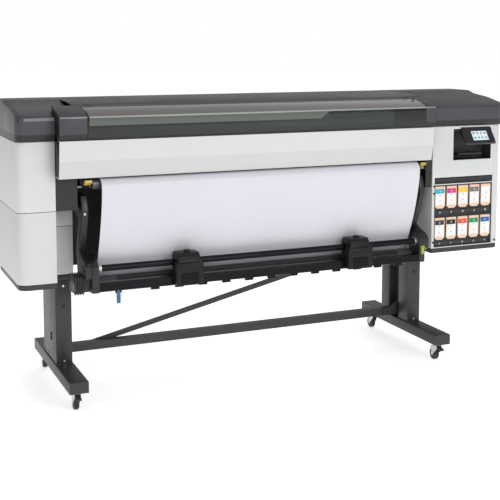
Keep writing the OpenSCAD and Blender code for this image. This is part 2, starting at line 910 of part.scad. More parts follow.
// Inner block of an arm, which holds the bar and the rail
module arm_block_view() {
    polygon([[-262, 690], [-300, 690], [-345, 672], [-368, 650], [-368, 536], [-305, 531],
             [-246, 531], [-240, 600], [-236, 640]]);
}

module arm_bores(x) {
    bar_x([x[0] - 1, x[1] + 1], bar_y, bar_z, bar_r + run);
    bar_x([x[0] - 1, x[1] + 1], core_y, core_z, 10 + run);
}

// The left arm, with the reel's motor box on its outside
module left_arm() {
    x = [left_arm_x, left_arm_x + arm_w];
    color(steel_black) {
        difference() {
            union() {
                side_view([x[0], x[0] + 28])
                    arm_view();
                side_view([x[0] + 28, x[1]])
                    arm_block_view();
            }
            arm_bores(x);
        }
        difference() {
            union() {
                block([-1034, x[0]], [-332, -226], [532, 604]);
                for (i = [0:3])
                    block([-1032 + 11 * i, -1027 + 11 * i], [-338, -220], [528, 608]);
            }
            bar_x([-1010, x[0] + 1], core_y, core_z, 12);
        }
    }
}

module right_arm() {
    x = [right_arm_x, right_arm_x + arm_w];
    color(steel_black) {
        difference() {
            union() {
                side_view([x[1] - 28, x[1]])
                    arm_view();
                side_view([x[0], x[1] - 28])
                    arm_block_view();
            }
            arm_bores(x);
        }
        bar_y_axis([-380, -367], core_lever_x, core_lever_z, pin_r);
    }
}

// The tension bar above and the lower rail with its row of tabs
module take_up_bars() {
    x = [left_arm_x + arm_w, right_arm_x];
    color("#3a3a3c") {
        bar_x([left_arm_x + 8, right_arm_x + arm_w - 8], bar_y, bar_z, bar_r);
        difference() {
            block(x, [rail_y0, rail_y1], [rail_z0, rail_z1]);
            block([x[0] - 1, x[1] + 1], [rail_y0 + 3, rail_y1 - 3], [rail_z0 + 3, rail_z1 - 3]);
        }
        for (i = [0:11])
            block([-684 + 116.5 * i, -644 + 116.5 * i], [rail_y1 - 12, rail_y1], [524, rail_z0]);
        for (x = [-853, -829])
            difference() {
                block([x, x + 4], [-356, -344], [526, rail_z0]);
                bar_x([x - 1, x + 5], -350, 532, 2 + run);
            }
    }
}

// The driven core with a hub at each end
module take_up_core() {
    tube = [-834, 640];
    color("#3a3a3c") {
        bar_x([left_arm_x - 18, right_arm_x + arm_w - 6], core_y, core_z, 10);
        for (x = [[-922, tube[0]], [tube[1], 722]])
            difference() {
                bar_x(x, core_y, core_z, core_r - 1);
                bar_x([x[0] - 1, x[1] + 1], core_y, core_z, 10);
            }
    }
    color("#1c1c1e")
        difference() {
            bar_x(tube, core_y, core_z, core_r);
            bar_x([tube[0] - 1, tube[1] + 1], core_y, core_z, core_r - 4);
        }
}

// A block that slides along the bar, with an apron in front of the rail
module guide(x) {
    mid = (x[0] + x[1]) / 2;
    color("#1f1f21")
        difference() {
            union() {
                block(x, [-405, rail_y0 - clear], [542, 645]);
                side_view([mid - 52, mid + 52])
                    polygon([[-396, 600], [-396, 672], [-380, 689], [-318, 689], [-302, 672],
                             [-302, 600]]);
            }
            bar_x([x[0] - 1, x[1] + 1], bar_y, bar_z, bar_r + run);
            block([mid - 40, mid + 40], [-410, -400], [552, 598]);
        }
}

module left_guide() {
    guide([-582, -450]);
}

module right_guide() {
    guide([303, 435]);
}

// The blue lever that hangs under the rail's left end
module bar_lever() {
    color("#2f5f8f") {
        side_view([-847, -831])
            polygon([[-355, 539], [-345, 539], [-344, 500], [-346, 478], [-354, 478],
                     [-357, 500]]);
        bar_x([-853, -825], -350, 532, 2);
    }
}

// Two levers on one shaft, one at each end of the platen
module edge_levers() {
    color("#c8b560")
        for (x = [[-982, -951], [740, 770]])
            difference() {
                side_view(x) {
                    polygon([[-262, 1002], [-270, 1013], [-346, 1041], [-350, 1030], [-270, 994]]);
                    translate(edge_shaft)
                        circle(10);
                }
                bar_x([x[0] - 1, x[1] + 1], edge_shaft[0], edge_shaft[1], 5);
            }
    color("dimgray")
        bar_x([-1015, 816], edge_shaft[0], edge_shaft[1], 5);
}

// The lever on the front of the right arm that frees the core
module core_lever() {
    color("#b5b83a")
        difference() {
            union() {
                front_view([-376, -369])
                    polygon([[-7, 0], [7, 0], [6, -28], [2, -34], [-4, -34], [-7, -28]]
                            + [for (i = [1:6]) [core_lever_x, core_lever_z]]);
                bar_y_axis([-378, -368.4], core_lever_x, core_lever_z, 9);
            }
            bar_y_axis([-381, -367], core_lever_x, core_lever_z, pin_r + run);
        }
}

module cartridge_1() { cartridge(1); }
module cartridge_2() { cartridge(2); }
module cartridge_3() { cartridge(3); }
module cartridge_4() { cartridge(4); }
module cartridge_5() { cartridge(5); }
module cartridge_6() { cartridge(6); }
module cartridge_7() { cartridge(7); }
module cartridge_8() { cartridge(8); }
module cartridge_9() { cartridge(9); }
module cartridge_10() { cartridge(10); }

left_foot();
right_foot();
left_leg();
right_leg();
cross_beam();
diagonal_brace();
stand_hardware();
caster_fork_fl();
caster_fork_fr();
caster_fork_bl();
caster_fork_br();
caster_wheel_fl();
caster_wheel_fr();
caster_wheel_bl();
caster_wheel_br();
brake_lever_fl();
brake_lever_fr();
main_beam();
side_brackets();
base_trays();
platen();
rear_panel();
left_cover_upper();
left_cover_lower();
left_cap();
right_cover();
right_cap();
top_cover();
front_panel();
lid_frame();
lid_window();
carriage_rail();
carriage_drive();
carriage();
cutter_wheel();
drive_roller();
pinch_rollers();
media_roll();
media_sheet();
ink_bay();
cartridge_1();
cartridge_2();
cartridge_3();
cartridge_4();
cartridge_5();
cartridge_6();
cartridge_7();
cartridge_8();
cartridge_9();
cartridge_10();
control_panel();
left_arm();
right_arm();
take_up_bars();
take_up_core();
left_guide();
right_guide();
bar_lever();
edge_levers();
core_lever();
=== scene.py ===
"""Gives a roll-fed printer cutter its finishes and fine detail, on top of its CAD frame."""

import math

import bmesh
import bpy
from mathutils import Matrix, Vector


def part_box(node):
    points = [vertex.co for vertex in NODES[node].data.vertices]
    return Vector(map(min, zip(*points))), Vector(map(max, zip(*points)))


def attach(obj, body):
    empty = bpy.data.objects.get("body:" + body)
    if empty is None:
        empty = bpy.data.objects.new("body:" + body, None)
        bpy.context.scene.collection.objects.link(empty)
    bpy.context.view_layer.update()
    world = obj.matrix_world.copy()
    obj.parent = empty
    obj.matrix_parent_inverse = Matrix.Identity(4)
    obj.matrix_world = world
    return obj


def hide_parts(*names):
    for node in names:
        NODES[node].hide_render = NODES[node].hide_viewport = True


bl_info = {
    "name": "Printer cutter",
    "version": (1, 0, 0),
    "blender": (4, 5, 0),
    "location": "3D View > Sidebar > Printer cutter",
    "description": "Finishes and fine detail for a roll-fed printer cutter on its stand",
    "category": "Object",
}

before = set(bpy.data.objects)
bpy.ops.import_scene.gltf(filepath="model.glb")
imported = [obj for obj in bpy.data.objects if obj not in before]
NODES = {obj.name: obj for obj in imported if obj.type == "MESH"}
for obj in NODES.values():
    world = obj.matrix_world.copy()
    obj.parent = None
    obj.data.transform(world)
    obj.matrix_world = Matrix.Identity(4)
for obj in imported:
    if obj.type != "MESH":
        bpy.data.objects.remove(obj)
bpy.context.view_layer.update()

MACHINE = "machine"

# Sizes repeated from the frame's design, in metres
SHEET_Z = 1.045
PLATEN_TOP = 1.0445
ROLL_Y = 0.305
ROLL_Z = 0.8
ROLL_R = 0.1
ROLL_TUBE_R = 0.0375
LAYER_STEP = 0.0011
CORE_Y = -0.275
CORE_Z = 0.556
BAR_Y = -0.33
BAR_Z = 0.64
HUB_R = 0.0347
DISPLAY_TOP = (-0.297, 1.206)
DISPLAY_LOW = (-0.352, 1.126)
CARTRIDGE_COUNT = 10
CAP_BAND_Z = 1.247
CREASE_Z = 1.131
BAND_Z = 1.2835
BAND_END_X = 0.162
BAND_SLANT = 1.3
DARK_END_X = 0.564
WINDOW_SEAL_X = -0.966
SEAL_W = 0.016
LID_EDGE_Z = 1.3180
# Lines on the left cap's top, as (X, Y) boxes
CAP_GROOVES = [
    ((-1.2630, -0.2960), (-1.2585, 0.030)), ((-1.2505, -0.2850), (-1.2470, 0.018)),
    ((-1.2630, -0.2960), (-1.1040, -0.2925)), ((-1.2630, 0.0260), (-1.0100, 0.030)),
]
WINDOW_KNEE_Z = 1.3235
LEG_X = (-1.034, 0.866)
FOOT_TOP = 0.146
CASTER_Y = 0.33
WHEEL_R = 0.031
CASTERS = {"fl": (LEG_X[0], -CASTER_Y), "fr": (LEG_X[1], -CASTER_Y),
           "bl": (LEG_X[0], CASTER_Y), "br": (LEG_X[1], CASTER_Y)}


# ---- properties ----


def colour_property(name, description, value):
    return bpy.props.FloatVectorProperty(
        name=name, description=description, default=value, size=3, min=0, max=1, subtype="COLOR"
    )


def length_property(name, description, value):
    return bpy.props.FloatProperty(
        name=name, description=description, default=value, min=0, unit="LENGTH", subtype="DISTANCE"
    )


class PrinterColours(bpy.types.PropertyGroup):
    """Colours of the printer's finishes"""

    cover: colour_property("Covers", "White moulded covers and front panel", (0.605, 0.618, 0.612))
    cap: colour_property("Caps", "Dark grey end caps, top cover and lid ends", (0.062, 0.061, 0.069))
    stand: colour_property("Stand", "Powder-coated stand", (0.025, 0.025, 0.029))
    chassis: colour_property("Chassis", "Black chassis and take-up arms", (0.008, 0.008, 0.009))
    smoke: colour_property("Window", "Tint of the smoked window", (0.08, 0.108, 0.105))
    media: colour_property("Media", "Vinyl on the roll and over the platen", (0.625, 0.615, 0.665))
    carton: colour_property("Cartons", "Plain card of the ink cartridges", (0.80, 0.58, 0.42))
    screen: colour_property("Screen", "Light of the display", (0.62, 0.68, 0.71))
    blue_lever: colour_property("Blue lever", "Lever under the lower rail", (0.03, 0.12, 0.27))
    yellow_lever: colour_property("Yellow levers", "Levers at the platen's ends", (0.56, 0.42, 0.08))
    green_lever: colour_property("Green lever", "Lever on the right arm", (0.42, 0.43, 0.03))


class PrinterSizes(bpy.types.PropertyGroup):
    """Sizes of the printer's fine detail"""

    cover_edge: length_property("Cover edge", "Rounding along the edges of moulded covers", 0.0025)
    metal_edge: length_property("Metal edge", "Rounding along the edges of metal parts", 0.0012)
    sheet_t: length_property("Sheet thickness", "Thickness of the vinyl sheet", 0.0005)
    screw_r: length_property("Screw radius", "Radius of a cover screw's head", 0.0055)
    bolt_r: length_property("Bolt radius", "Radius of a stand bolt's head", 0.0085)
    ripple: length_property("Sheet ripple", "Depth of the hanging sheet's faint ripple", 0.0018)


def colours():
    return bpy.context.scene.printer_colours


def sizes():
    return bpy.context.scene.printer_sizes


# ---- finishes ----


class Finish:
    """A material being made: one shader, with nodes that are added and wired by name."""

    def __init__(self, name):
        self.material = bpy.data.materials.new(name)
        self.material.use_nodes = True
        self.tree = self.material.node_tree
        self.tree.nodes.clear()
        output = self.add("ShaderNodeOutputMaterial")
        self.shader = self.add("ShaderNodeBsdfPrincipled")
        self.wire(self.shader.outputs[0], output.inputs["Surface"])
        self.place = self.add("ShaderNodeTexCoord").outputs["Object"]

    def add(self, kind, **settings):
        node = self.tree.nodes.new(kind)
        for key, value in settings.items():
            setattr(node, key, value)
        return node

    def wire(self, source, target):
        self.tree.links.new(source, target)

    def feed(self, socket, value):
        """Sets a socket to a number or colour, or wires another socket into it."""
        if isinstance(value, bpy.types.NodeSocket):
            self.wire(value, socket)
        elif isinstance(value, (int, float)):
            socket.default_value = value
        else:
            socket.default_value = (*value[:3], 1)

    def math(self, operation, a, b=0.0):
        node = self.add("ShaderNodeMath", operation=operation)
        for socket, value in zip(node.inputs, (a, b)):
            self.feed(socket, value)
        return node.outputs[0]

    def mix(self, factor, a, b):
        """A colour between a and b, which are colours or sockets."""
        node = self.add("ShaderNodeMix", data_type="RGBA")
        for socket, value in ((node.inputs[0], factor), (node.inputs[6], a), (node.inputs[7], b)):
            self.feed(socket, value)
        return node.outputs[2]

    def blend(self, factor, a, b):
        """A number between a and b, which are numbers or sockets."""
        node = self.add("ShaderNodeMix", data_type="FLOAT")
        for socket, value in ((node.inputs[0], factor), (node.inputs[2], a), (node.inputs[3], b)):
            self.feed(socket, value)
        return node.outputs[0]

    def noise(self, scale, detail=3.0, stretch=(1, 1, 1)):
        mapping = self.add("ShaderNodeMapping")
        mapping.inputs["Scale"].default_value = stretch
        self.wire(self.place, mapping.inputs["Vector"])
        node = self.add("ShaderNodeTexNoise")
        node.inputs["Scale"].default_value = scale
        node.inputs["Detail"].default_value = detail
        self.wire(mapping.outputs[0], node.inputs["Vector"])
        return node.outputs["Fac"]

    def spread(self, source, low, high, start=0.3, end=0.7):
        """A number that runs from low to high as the source runs from start to end."""
        node = self.add("ShaderNodeMapRange")
        self.wire(source, node.inputs["Value"])
        for key, value in (("From Min", start), ("From Max", end), ("To Min", low), ("To Max", high)):
            node.inputs[key].default_value = value
        return node.outputs[0]

    def vary(self, source, colour, low, high):
        """The colour, drifting between two shades of it as the source does."""
        return self.mix(self.spread(source, 0, 1), shade(colour, low), shade(colour, high))

    def axes(self):
        node = self.add("ShaderNodeSeparateXYZ")
        self.wire(self.place, node.inputs[0])
        return node.outputs

    def inside(self, low, high):
        """1 inside a box, 0 outside. None leaves that side open."""
        axes = self.axes()
        result = None
        for axis, (a, b) in enumerate(zip(low, high)):
            for limit, operation in ((a, "GREATER_THAN"), (b, "LESS_THAN")):
                if limit is None:
                    continue
                test = self.math(operation, axes[axis], limit)
                result = test if result is None else self.math("MULTIPLY", result, test)
        return result

    def radius(self, y, z):
        """Distance from an axle that runs along X."""
        axes = self.axes()
        dy = self.math("SUBTRACT", axes[1], y)
        dz = self.math("SUBTRACT", axes[2], z)
        squares = self.math("ADD", self.math("MULTIPLY", dy, dy), self.math("MULTIPLY", dz, dz))
        return self.math("SQRT", squares)

    def near_axle(self, y, z, reach):
        return self.math("LESS_THAN", self.radius(y, z), reach)

    def bump(self, height, strength, distance):
        node = self.add("ShaderNodeBump")
        node.inputs["Strength"].default_value = strength
        node.inputs["Distance"].default_value = distance
        self.wire(height, node.inputs["Height"])
        self.wire(node.outputs[0], self.shader.inputs["Normal"])

    def set(self, **values):
        for key, value in values.items():
            self.feed(self.shader.inputs[key.replace("_", " ")], value)


OPEN = (None, None, None)


def within(low, high):
    """A mask maker for a box. None leaves that side open."""
    return lambda f: f.inside(low, high)


def round_axle(y, z, reach):
    return lambda f: f.near_axle(y, z, reach)


def shade(colour, amount):
    return tuple(min(1.0, c * amount) for c in colour)


# Pale grey painted as a highlight along the front top edges of the left cap and the lid
EDGE_HIGHLIGHT = (0.22, 0.22, 0.235)
AXLE_STEEL = (0.45, 0.45, 0.46)


def moulded(name, colour, roughness=0.45, grain=900.0, relief=0.12, drift=0.05, zones=(), shine=0.5):
    """Moulded plastic with a fine sparkle texture, and a slow drift of shade across it.
    Each zone is (mask maker, colour, roughness) for a part of the piece in another plastic, or for
    painted shade or a painted highlight."""
    f = Finish(name)
    slow = f.noise(4.0, 2.0)
    fine = f.noise(grain, 2.0)
    tone = f.vary(slow, colour, 1 - drift, 1 + drift)
    tone = f.mix(f.spread(fine, 0, 0.12), tone, shade(colour, 0.72))
    rough = f.spread(slow, roughness - 0.05, roughness + 0.06)
    for mask, zone_colour, zone_roughness in zones:
        where = mask(f)
        tone = f.mix(where, tone, zone_colour)
        rough = f.blend(where, rough, zone_roughness)
    f.set(Base_Color=tone, Roughness=rough, Specular_IOR_Level=shine)
    f.bump(fine, relief, 0.0004)
    return f.material


def powder_coat(name, colour, roughness=0.42, relief=0.25):
    """Powder-coated steel: soft orange peel, a slow drift of tone, and faint patches of pale dust."""
    f = Finish(name)
    peel = f.noise(420.0, 1.5)
    slow = f.noise(5.0, 3.0)
    dust = f.noise(38.0, 4.0)
    tone = f.vary(slow, colour, 0.92, 1.1)
    tone = f.mix(f.spread(dust, 0, 0.02, 0.5, 0.8), tone, (0.35, 0.34, 0.33))
    f.set(Base_Color=tone, Roughness=f.spread(dust, roughness - 0.04, roughness + 0.06))
    f.bump(peel, relief, 0.0005)
    return f.material


def bare_metal(name, colour, roughness=0.35, stretch=(0.02, 1, 1), zones=()):
    """Brushed or drawn metal, its lines along X unless the stretch says otherwise.
    Each zone is (mask maker, colour, roughness, metallic)."""
    f = Finish(name)
    lines = f.noise(900.0, 2.0, stretch)
    slow = f.noise(14.0, 3.0)
    tone = f.vary(lines, colour, 0.86, 1.08)
    tone = f.mix(f.spread(slow, 0, 0.25, 0.45, 0.75), tone, shade(colour, 0.7))
    rough = f.spread(lines, roughness - 0.08, roughness + 0.1)
    metallic = 1.0
    for mask, zone_colour, zone_roughness, zone_metallic in zones:
        where = mask(f)
        tone = f.mix(where, tone, zone_colour)
        rough = f.blend(where, rough, zone_roughness)
        metallic = f.blend(where, metallic, zone_metallic)
    f.set(Base_Color=tone, Roughness=rough, Metallic=metallic)
    f.bump(lines, 0.12, 0.0002)
    return f.material


def zinc_plate(name, zones=()):
    """Bright zinc plating, with its faint blue and straw patches."""
    f = Finish(name)
    patches = f.add("ShaderNodeTexVoronoi")
    patches.inputs["Scale"].default_value = 160.0
    f.wire(f.place, patches.inputs["Vector"])
    slow = f.noise(60.0, 3.0)
    tone = f.mix(f.spread(slow, 0, 1), (0.52, 0.54, 0.58), (0.66, 0.65, 0.6))
    rough = f.spread(patches.outputs["Distance"], 0.25, 0.42, 0.0, 0.8)
    metal = 1.0
    for mask, zone_colour, zone_roughness in zones:
        where = mask(f)
        tone = f.mix(where, tone, zone_colour)
        rough = f.math("MAXIMUM", rough, f.math("MULTIPLY", where, zone_roughness))
        metal = f.math("SUBTRACT", 1.0, where)
    f.set(Base_Color=tone, Roughness=rough, Metallic=metal)
    f.bump(slow, 0.08, 0.0003)
    return f.material


def rubber(name, colour=(0.012, 0.012, 0.013)):
    """Dark rubber that has picked up some pale dust."""
    f = Finish(name)
    dust = f.noise(130.0, 4.0)
    fine = f.noise(1400.0, 2.0)
    tone = f.mix(f.spread(dust, 0, 0.2, 0.5, 0.8), colour, (0.16, 0.155, 0.15))
    f.set(Base_Color=tone, Roughness=f.spread(dust, 0.62, 0.8))
    f.bump(fine, 0.2, 0.0004)
    return f.material


def vinyl(name, colour, edge_rings=False):
    """Sign vinyl: satin face, a faint lengthwise banding, and wound layers at a roll's ends."""
    f = Finish(name)
    bands = f.noise(9.0, 2.0, (1.0, 0.05, 0.05))
    mottle = f.noise(160.0, 3.0)
    tone = f.vary(bands, colour, 0.985, 1.01)
    tone = f.mix(f.spread(mottle, 0, 0.05), tone, shade(colour, 0.82))
    rough = f.spread(mottle, 0.3, 0.4)
    if edge_rings:
        layer = f.math("FRACT", f.math("MULTIPLY", f.radius(ROLL_Y, ROLL_Z), 1 / LAYER_STEP))
        low, high = (corner.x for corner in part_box("media_sheet"))
        low, high = low + 0.0004, high - 0.0004
        axes = f.axes()
        end = f.math("MAXIMUM", f.math("LESS_THAN", axes[0], low),
                     f.math("GREATER_THAN", axes[0], high))
        rings = f.math("MULTIPLY", end, f.spread(layer, 0.0, 0.45, 0.2, 0.9))
        tone = f.mix(rings, tone, (0.35, 0.34, 0.36))
        black = f.near_axle(ROLL_Y, ROLL_Z, ROLL_TUBE_R)
        outer = f.inside((low - 0.0008, None, None), (high + 0.0008, None, None))
        black = f.math("MAXIMUM", black, f.math("SUBTRACT", 1.0, outer))
        tone = f.mix(black, tone, colours().chassis)
        rough = f.math("MAXIMUM", rough, f.math("MULTIPLY", black, 0.45))
    f.set(Base_Color=tone, Roughness=rough, Specular_IOR_Level=0.4)
    f.bump(mottle, 0.05, 0.0003)
    return f.material


def smoked_acrylic(name, colour):
    """The tinted window: glossy and see-through, with a paler band along its top and a highlight
    painted along its front top edge.
    """
    f = Finish(name)
    wave = f.noise(7.0, 1.0)
    axes = f.axes()
    rise = f.math("SUBTRACT", axes[2], BAND_Z)
    slant = f.math("ADD", BAND_END_X, f.math("MULTIPLY", rise, BAND_SLANT))
    band = f.math("MULTIPLY", f.math("GREATER_THAN", axes[2], BAND_Z),
                  f.math("LESS_THAN", axes[0], slant))
    slope = f.math("GREATER_THAN", axes[2], WINDOW_KNEE_Z)
    dots = f.noise(300.0, 2.0)
    tone = f.vary(wave, colour, 0.94, 1.06)
    tone = f.mix(f.math("GREATER_THAN", axes[0], DARK_END_X), tone, shade(colour, 0.35))
    tone = f.mix(band, tone, f.mix(f.spread(dots, 0, 1), (0.10, 0.112, 0.10), (0.125, 0.138, 0.125)))
    # Painted highlight: a pale line along the pane's front top edge
    rim = f.inside((None, None, LID_EDGE_Z), (None, -0.3735, None))
    tone = f.mix(slope, tone, f.mix(f.spread(dots, 0, 1), (0.15, 0.145, 0.135), (0.18, 0.175, 0.165)))
    seal = f.math("LESS_THAN", axes[0], WINDOW_SEAL_X)
    tone = f.mix(rim, tone, (0.36, 0.38, 0.37))
    tone = f.mix(seal, tone, (0.006, 0.006, 0.007))
    # Less see-through where the paler band, the slope, the painted highlight and the dark seal are
    less_clear = f.math("MAXIMUM", f.math("MAXIMUM", band, slope), f.math("MAXIMUM", rim, seal))
    clear = f.math("SUBTRACT", 0.9, f.math("MULTIPLY", less_clear, 0.8))
    f.set(Base_Color=tone, Roughness=f.spread(wave, 0.04, 0.07), IOR=1.49, Transmission_Weight=clear)
    f.bump(wave, 0.03, 0.001)
    return f.material


def card(name, colour):
    """Plain corrugated card: fibres, and faint flutes under the liner."""
    f = Finish(name)
    fibres = f.noise(700.0, 4.0, (1, 1, 0.25))
    flutes = f.add("ShaderNodeTexWave", bands_direction="Z")
    flutes.inputs["Scale"].default_value = 60.0
    flutes.inputs["Distortion"].default_value = 0.4
    f.wire(f.place, flutes.inputs["Vector"])
    tone = f.vary(fibres, colour, 0.88, 1.08)
    f.set(Base_Color=tone, Roughness=0.85, Specular_IOR_Level=0.25)
    f.bump(flutes.outputs["Fac"], 0.06, 0.0006)
    return f.material


def printed(name, colour, roughness=0.4):
    """Ink on a coated label, with the faint mottle of print on card."""
    f = Finish(name)
    mottle = f.noise(500.0, 3.0)
    slow = f.noise(22.0, 2.0)
    tone = f.vary(mottle, colour, 0.93, 1.05)
    f.set(Base_Color=tone, Roughness=f.spread(slow, roughness - 0.05, roughness + 0.08))
    f.bump(mottle, 0.04, 0.0002)
    return f.material


def lamp(name, colour, strength):
    """A lit screen area or a light behind clear plastic, a little uneven like a backlight."""
    f = Finish(name)
    slow = f.noise(30.0, 1.0)
    tone = f.vary(slow, colour, 0.9, 1.0)
    f.set(Base_Color=tone, Roughness=0.15, Emission_Color=tone, Emission_Strength=strength)
    return f.material


_made = {}


def finish(name, maker, *args, **keywords):
    """The finish of that name, made once."""
    if name not in _made:
        _made[name] = maker(name, *args, **keywords)
    return _made[name]


def white_plastic(name, zones=()):
    return moulded(name, colours().cover, 0.5, 1100.0, 0.10, 0.02, zones)


def cap_plastic(name, colour, zones):
    """Dark grey, darker below the line where the caps draw in."""
    low_band = within(OPEN, (None, None, CAP_BAND_Z))
    return moulded(name, colour, 0.42, 800.0, 0.2, 0.06,
                   [(low_band, shade(colours().cap, 0.42), 0.45), *zones], 0.3)


def cover_white():
    return finish("cover_white", white_plastic)


def cap_grey():
    """The caps' plastic, with the left cap's fine grooves and a highlight painted along its front top
    edge.
    """
    # Painted highlight: a pale line along the left cap's front top edge
    cap_edge_highlight = within((-1.238, None, 1.3065), (-1.104, -0.3045, None))

    def grooves(f):
        mask = None
        for low, high in CAP_GROOVES:
            line = f.inside((*low, 1.3), (*high, None))
            mask = line if mask is None else f.math("MAXIMUM", mask, line)
        return mask

    return finish("cap_grey", cap_plastic, colours().cap,
                  [(cap_edge_highlight, EDGE_HIGHLIGHT, 0.3), (grooves, (0.012, 0.012, 0.013), 0.5)])


def stand_grey():
    return finish("stand_grey", powder_coat, colours().stand)


def chassis_black():
    return finish("chassis_black", powder_coat, colours().chassis, 0.5, 0.2)


def arm_black():
    return finish("arm_black", moulded, (0.010, 0.010, 0.011), 0.38, 700.0, 0.2, 0.1)


def gloss_black():
    return finish("gloss_black", moulded, (0.010, 0.010, 0.012), 0.16, 300.0, 0.02, 0.1)


def zinc():
    return finish("zinc_bright", zinc_plate)


def screw_black():
    return finish("screw_black", bare_metal, (0.05, 0.05, 0.052), 0.3, (1, 1, 1))


# ---- modelling helpers ----


def deselect():
    if bpy.context.view_layer.objects.active and bpy.context.object.mode != "OBJECT":
        bpy.ops.object.mode_set(mode="OBJECT")
    bpy.ops.object.select_all(action="DESELECT")


def take(obj):
    """Selects that piece alone."""
    deselect()
    obj.select_set(True)
    bpy.context.view_layer.objects.active = obj


def settle(obj):
    """Puts the piece's place, turn and scale into its mesh."""
    take(obj)
    bpy.ops.object.transform_apply(location=True, rotation=True, scale=True)
    return obj


def block(name, low, high):
    """A cube between two corners, as a start for shaping."""
    deselect()
    middle = [(a + b) / 2 for a, b in zip(low, high)]
    bpy.ops.mesh.primitive_cube_add(size=1, location=middle)
    obj = bpy.context.object
    obj.name = name
    obj.scale = [b - a for a, b in zip(low, high)]
    return settle(obj)


AXIS_TURN = {"X": (0, math.pi / 2, 0), "Y": (math.pi / 2, 0, 0), "Z": (0, 0, 0)}


def rod(name, middle, radius, length, axis="X", sides=32):
    """A cylinder about an axis, as a start for shaping."""
    deselect()
    bpy.ops.mesh.primitive_cylinder_add(
        vertices=sides, radius=radius, depth=length, location=middle, rotation=AXIS_TURN[axis]
    )
    obj = bpy.context.object
    obj.name = name
    return settle(obj)


def pick_faces(obj, test):
    """Opens the piece for editing, with the faces selected whose middle and normal pass the test."""
    take(obj)
    bpy.ops.object.mode_set(mode="EDIT")
    bpy.ops.mesh.select_mode(type="FACE")
    bpy.ops.mesh.select_all(action="DESELECT")
    mesh = bmesh.from_edit_mesh(obj.data)
    for face in mesh.faces:
        face.select_set(test(face.calc_center_median(), face.normal))
    bmesh.update_edit_mesh(obj.data)


def close_edit():
    bpy.ops.object.mode_set(mode="OBJECT")


def facing(direction):
    """A test for the faces that point that way."""
    aim = Vector(direction)
    return lambda middle, normal: normal.dot(aim) > 0.9


FRONT = facing((0, -1, 0))
TOP = facing((0, 0, 1))


def x_ends(middle, normal):
    return abs(normal.x) > 0.9


def inset(obj, test, thickness, depth=0.0):
    """Insets the picked faces, and sinks (depth below 0) or raises them."""
    pick_faces(obj, test)
    bpy.ops.mesh.inset(thickness=thickness, depth=depth)
    close_edit()


def push(obj, test, offset):
    """Extrudes the picked faces by an offset."""
    pick_faces(obj, test)
    bpy.ops.mesh.extrude_region_move(TRANSFORM_OT_translate={"value": offset})
    close_edit()


def paint(obj, index, test):
    """Gives the picked faces the piece's material of that index."""
    for face in obj.data.polygons:
        if test(face.center, face.normal):
            face.material_index = index


def run_modifier(obj, kind, **settings):
    take(obj)
    modifier = obj.modifiers.new(kind.title(), kind)
    for key, value in settings.items():
        setattr(modifier, key, value)
    bpy.ops.object.modifier_apply(modifier=modifier.name)


def smooth(obj, degrees=35.0):
    take(obj)
    bpy.ops.object.shade_smooth_by_angle(angle=math.radians(degrees))


def round_edges(obj, width, segments=2, degrees=30.0, clamp=True):
    run_modifier(
        obj, "BEVEL", width=width, segments=segments, limit_method="ANGLE",
        angle_limit=math.radians(degrees), use_clamp_overlap=clamp, harden_normals=False,
    )
    smooth(obj)


def shaped(obj, *insets, edge=0.0):
    """Insets faces in turn, each (test, thickness, depth), and then rounds the edges."""
    for test, thickness, depth in insets:
        inset(obj, test, thickness, depth)
    if edge:
        round_edges(obj, edge)
    return obj


def remove_faces(obj, test):
    pick_faces(obj, test)
    bpy.ops.mesh.delete(type="FACE")
    close_edit()


def cut(obj, tool):
    """Cuts the tool's shape out of the piece."""
    run_modifier(obj, "BOOLEAN", operation="DIFFERENCE", object=tool, solver="EXACT")
    bpy.data.objects.remove(tool)


def join(name, parts):
    """Joins parts into one piece."""
    deselect()
    for part in parts:
        part.select_set(True)
    bpy.context.view_layer.objects.active = parts[0]
    if len(parts) > 1:
        bpy.ops.object.join()
    parts[0].name = name
    return parts[0]


def copy_at(obj, name, shift=(0, 0, 0), turn=None):
    """A copy with its own mesh, turned about the origin and then shifted."""
    new = obj.copy()
    new.data = obj.data.copy()
    new.name = name
    bpy.context.scene.collection.objects.link(new)
    matrix = Matrix.Translation(shift)
    if turn is not None:
        matrix = matrix @ turn
    new.data.transform(matrix)
    return new


def dress(obj, *materials):
    obj.data.materials.clear()
    for material in materials:
        obj.data.materials.append(material)
    return obj


def hand_over(obj, body, stands_for=()):
    """Ties the finished piece to its body, and hides the CAD nodes that it stands for."""
    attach(obj, body)
    if stands_for:
        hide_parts(*stands_for)
    return obj


def skin(node, width, degrees=32.0, segments=2):
    """A copy of a CAD node as clean faces with rounded edges, to stand for the node."""
    deselect()
    source = NODES[node]
    obj = source.copy()
    obj.data = source.data.copy()
    for key in list(obj.keys()):
        del obj[key]
    obj.parent = None
    obj.matrix_world = Matrix.Identity(4)
    obj.name = node + "_skin"
    bpy.context.scene.collection.objects.link(obj)
    obj.select_set(True)
    bpy.context.view_layer.objects.active = obj
    bpy.ops.object.mode_set(mode="EDIT")
    bpy.ops.mesh.select_all(action="SELECT")
    bpy.ops.mesh.remove_doubles(threshold=0.00002)
    bpy.ops.mesh.dissolve_limited(angle_limit=math.radians(0.3))
    bpy.ops.object.mode_set(mode="OBJECT")
    if width:
        round_edges(obj, width, segments, degrees, clamp=False)
    else:
        smooth(obj)
    return obj


def skinned(node, material, width, body=MACHINE, degrees=32.0, segments=2):
    obj = dress(skin(node, width, degrees, segments), material)
    return hand_over(obj, body, [node])


class PrinterOperator:
    """Shared by the printer's operators"""

    bl_options = {"REGISTER", "UNDO"}


# ---- camera and stage ----

CAMERA_PLACE = (-2.0779, -4.7728, 1.6547)
CAMERA_DOWN = 6.061
CAMERA_TURN = 23.04
CAMERA_LENS = 74.456
CAMERA_SHIFT = -0.2
FLOOR_R = 60
FILL_LIGHT = 0.52
FLOOR_GLOW = 0.55


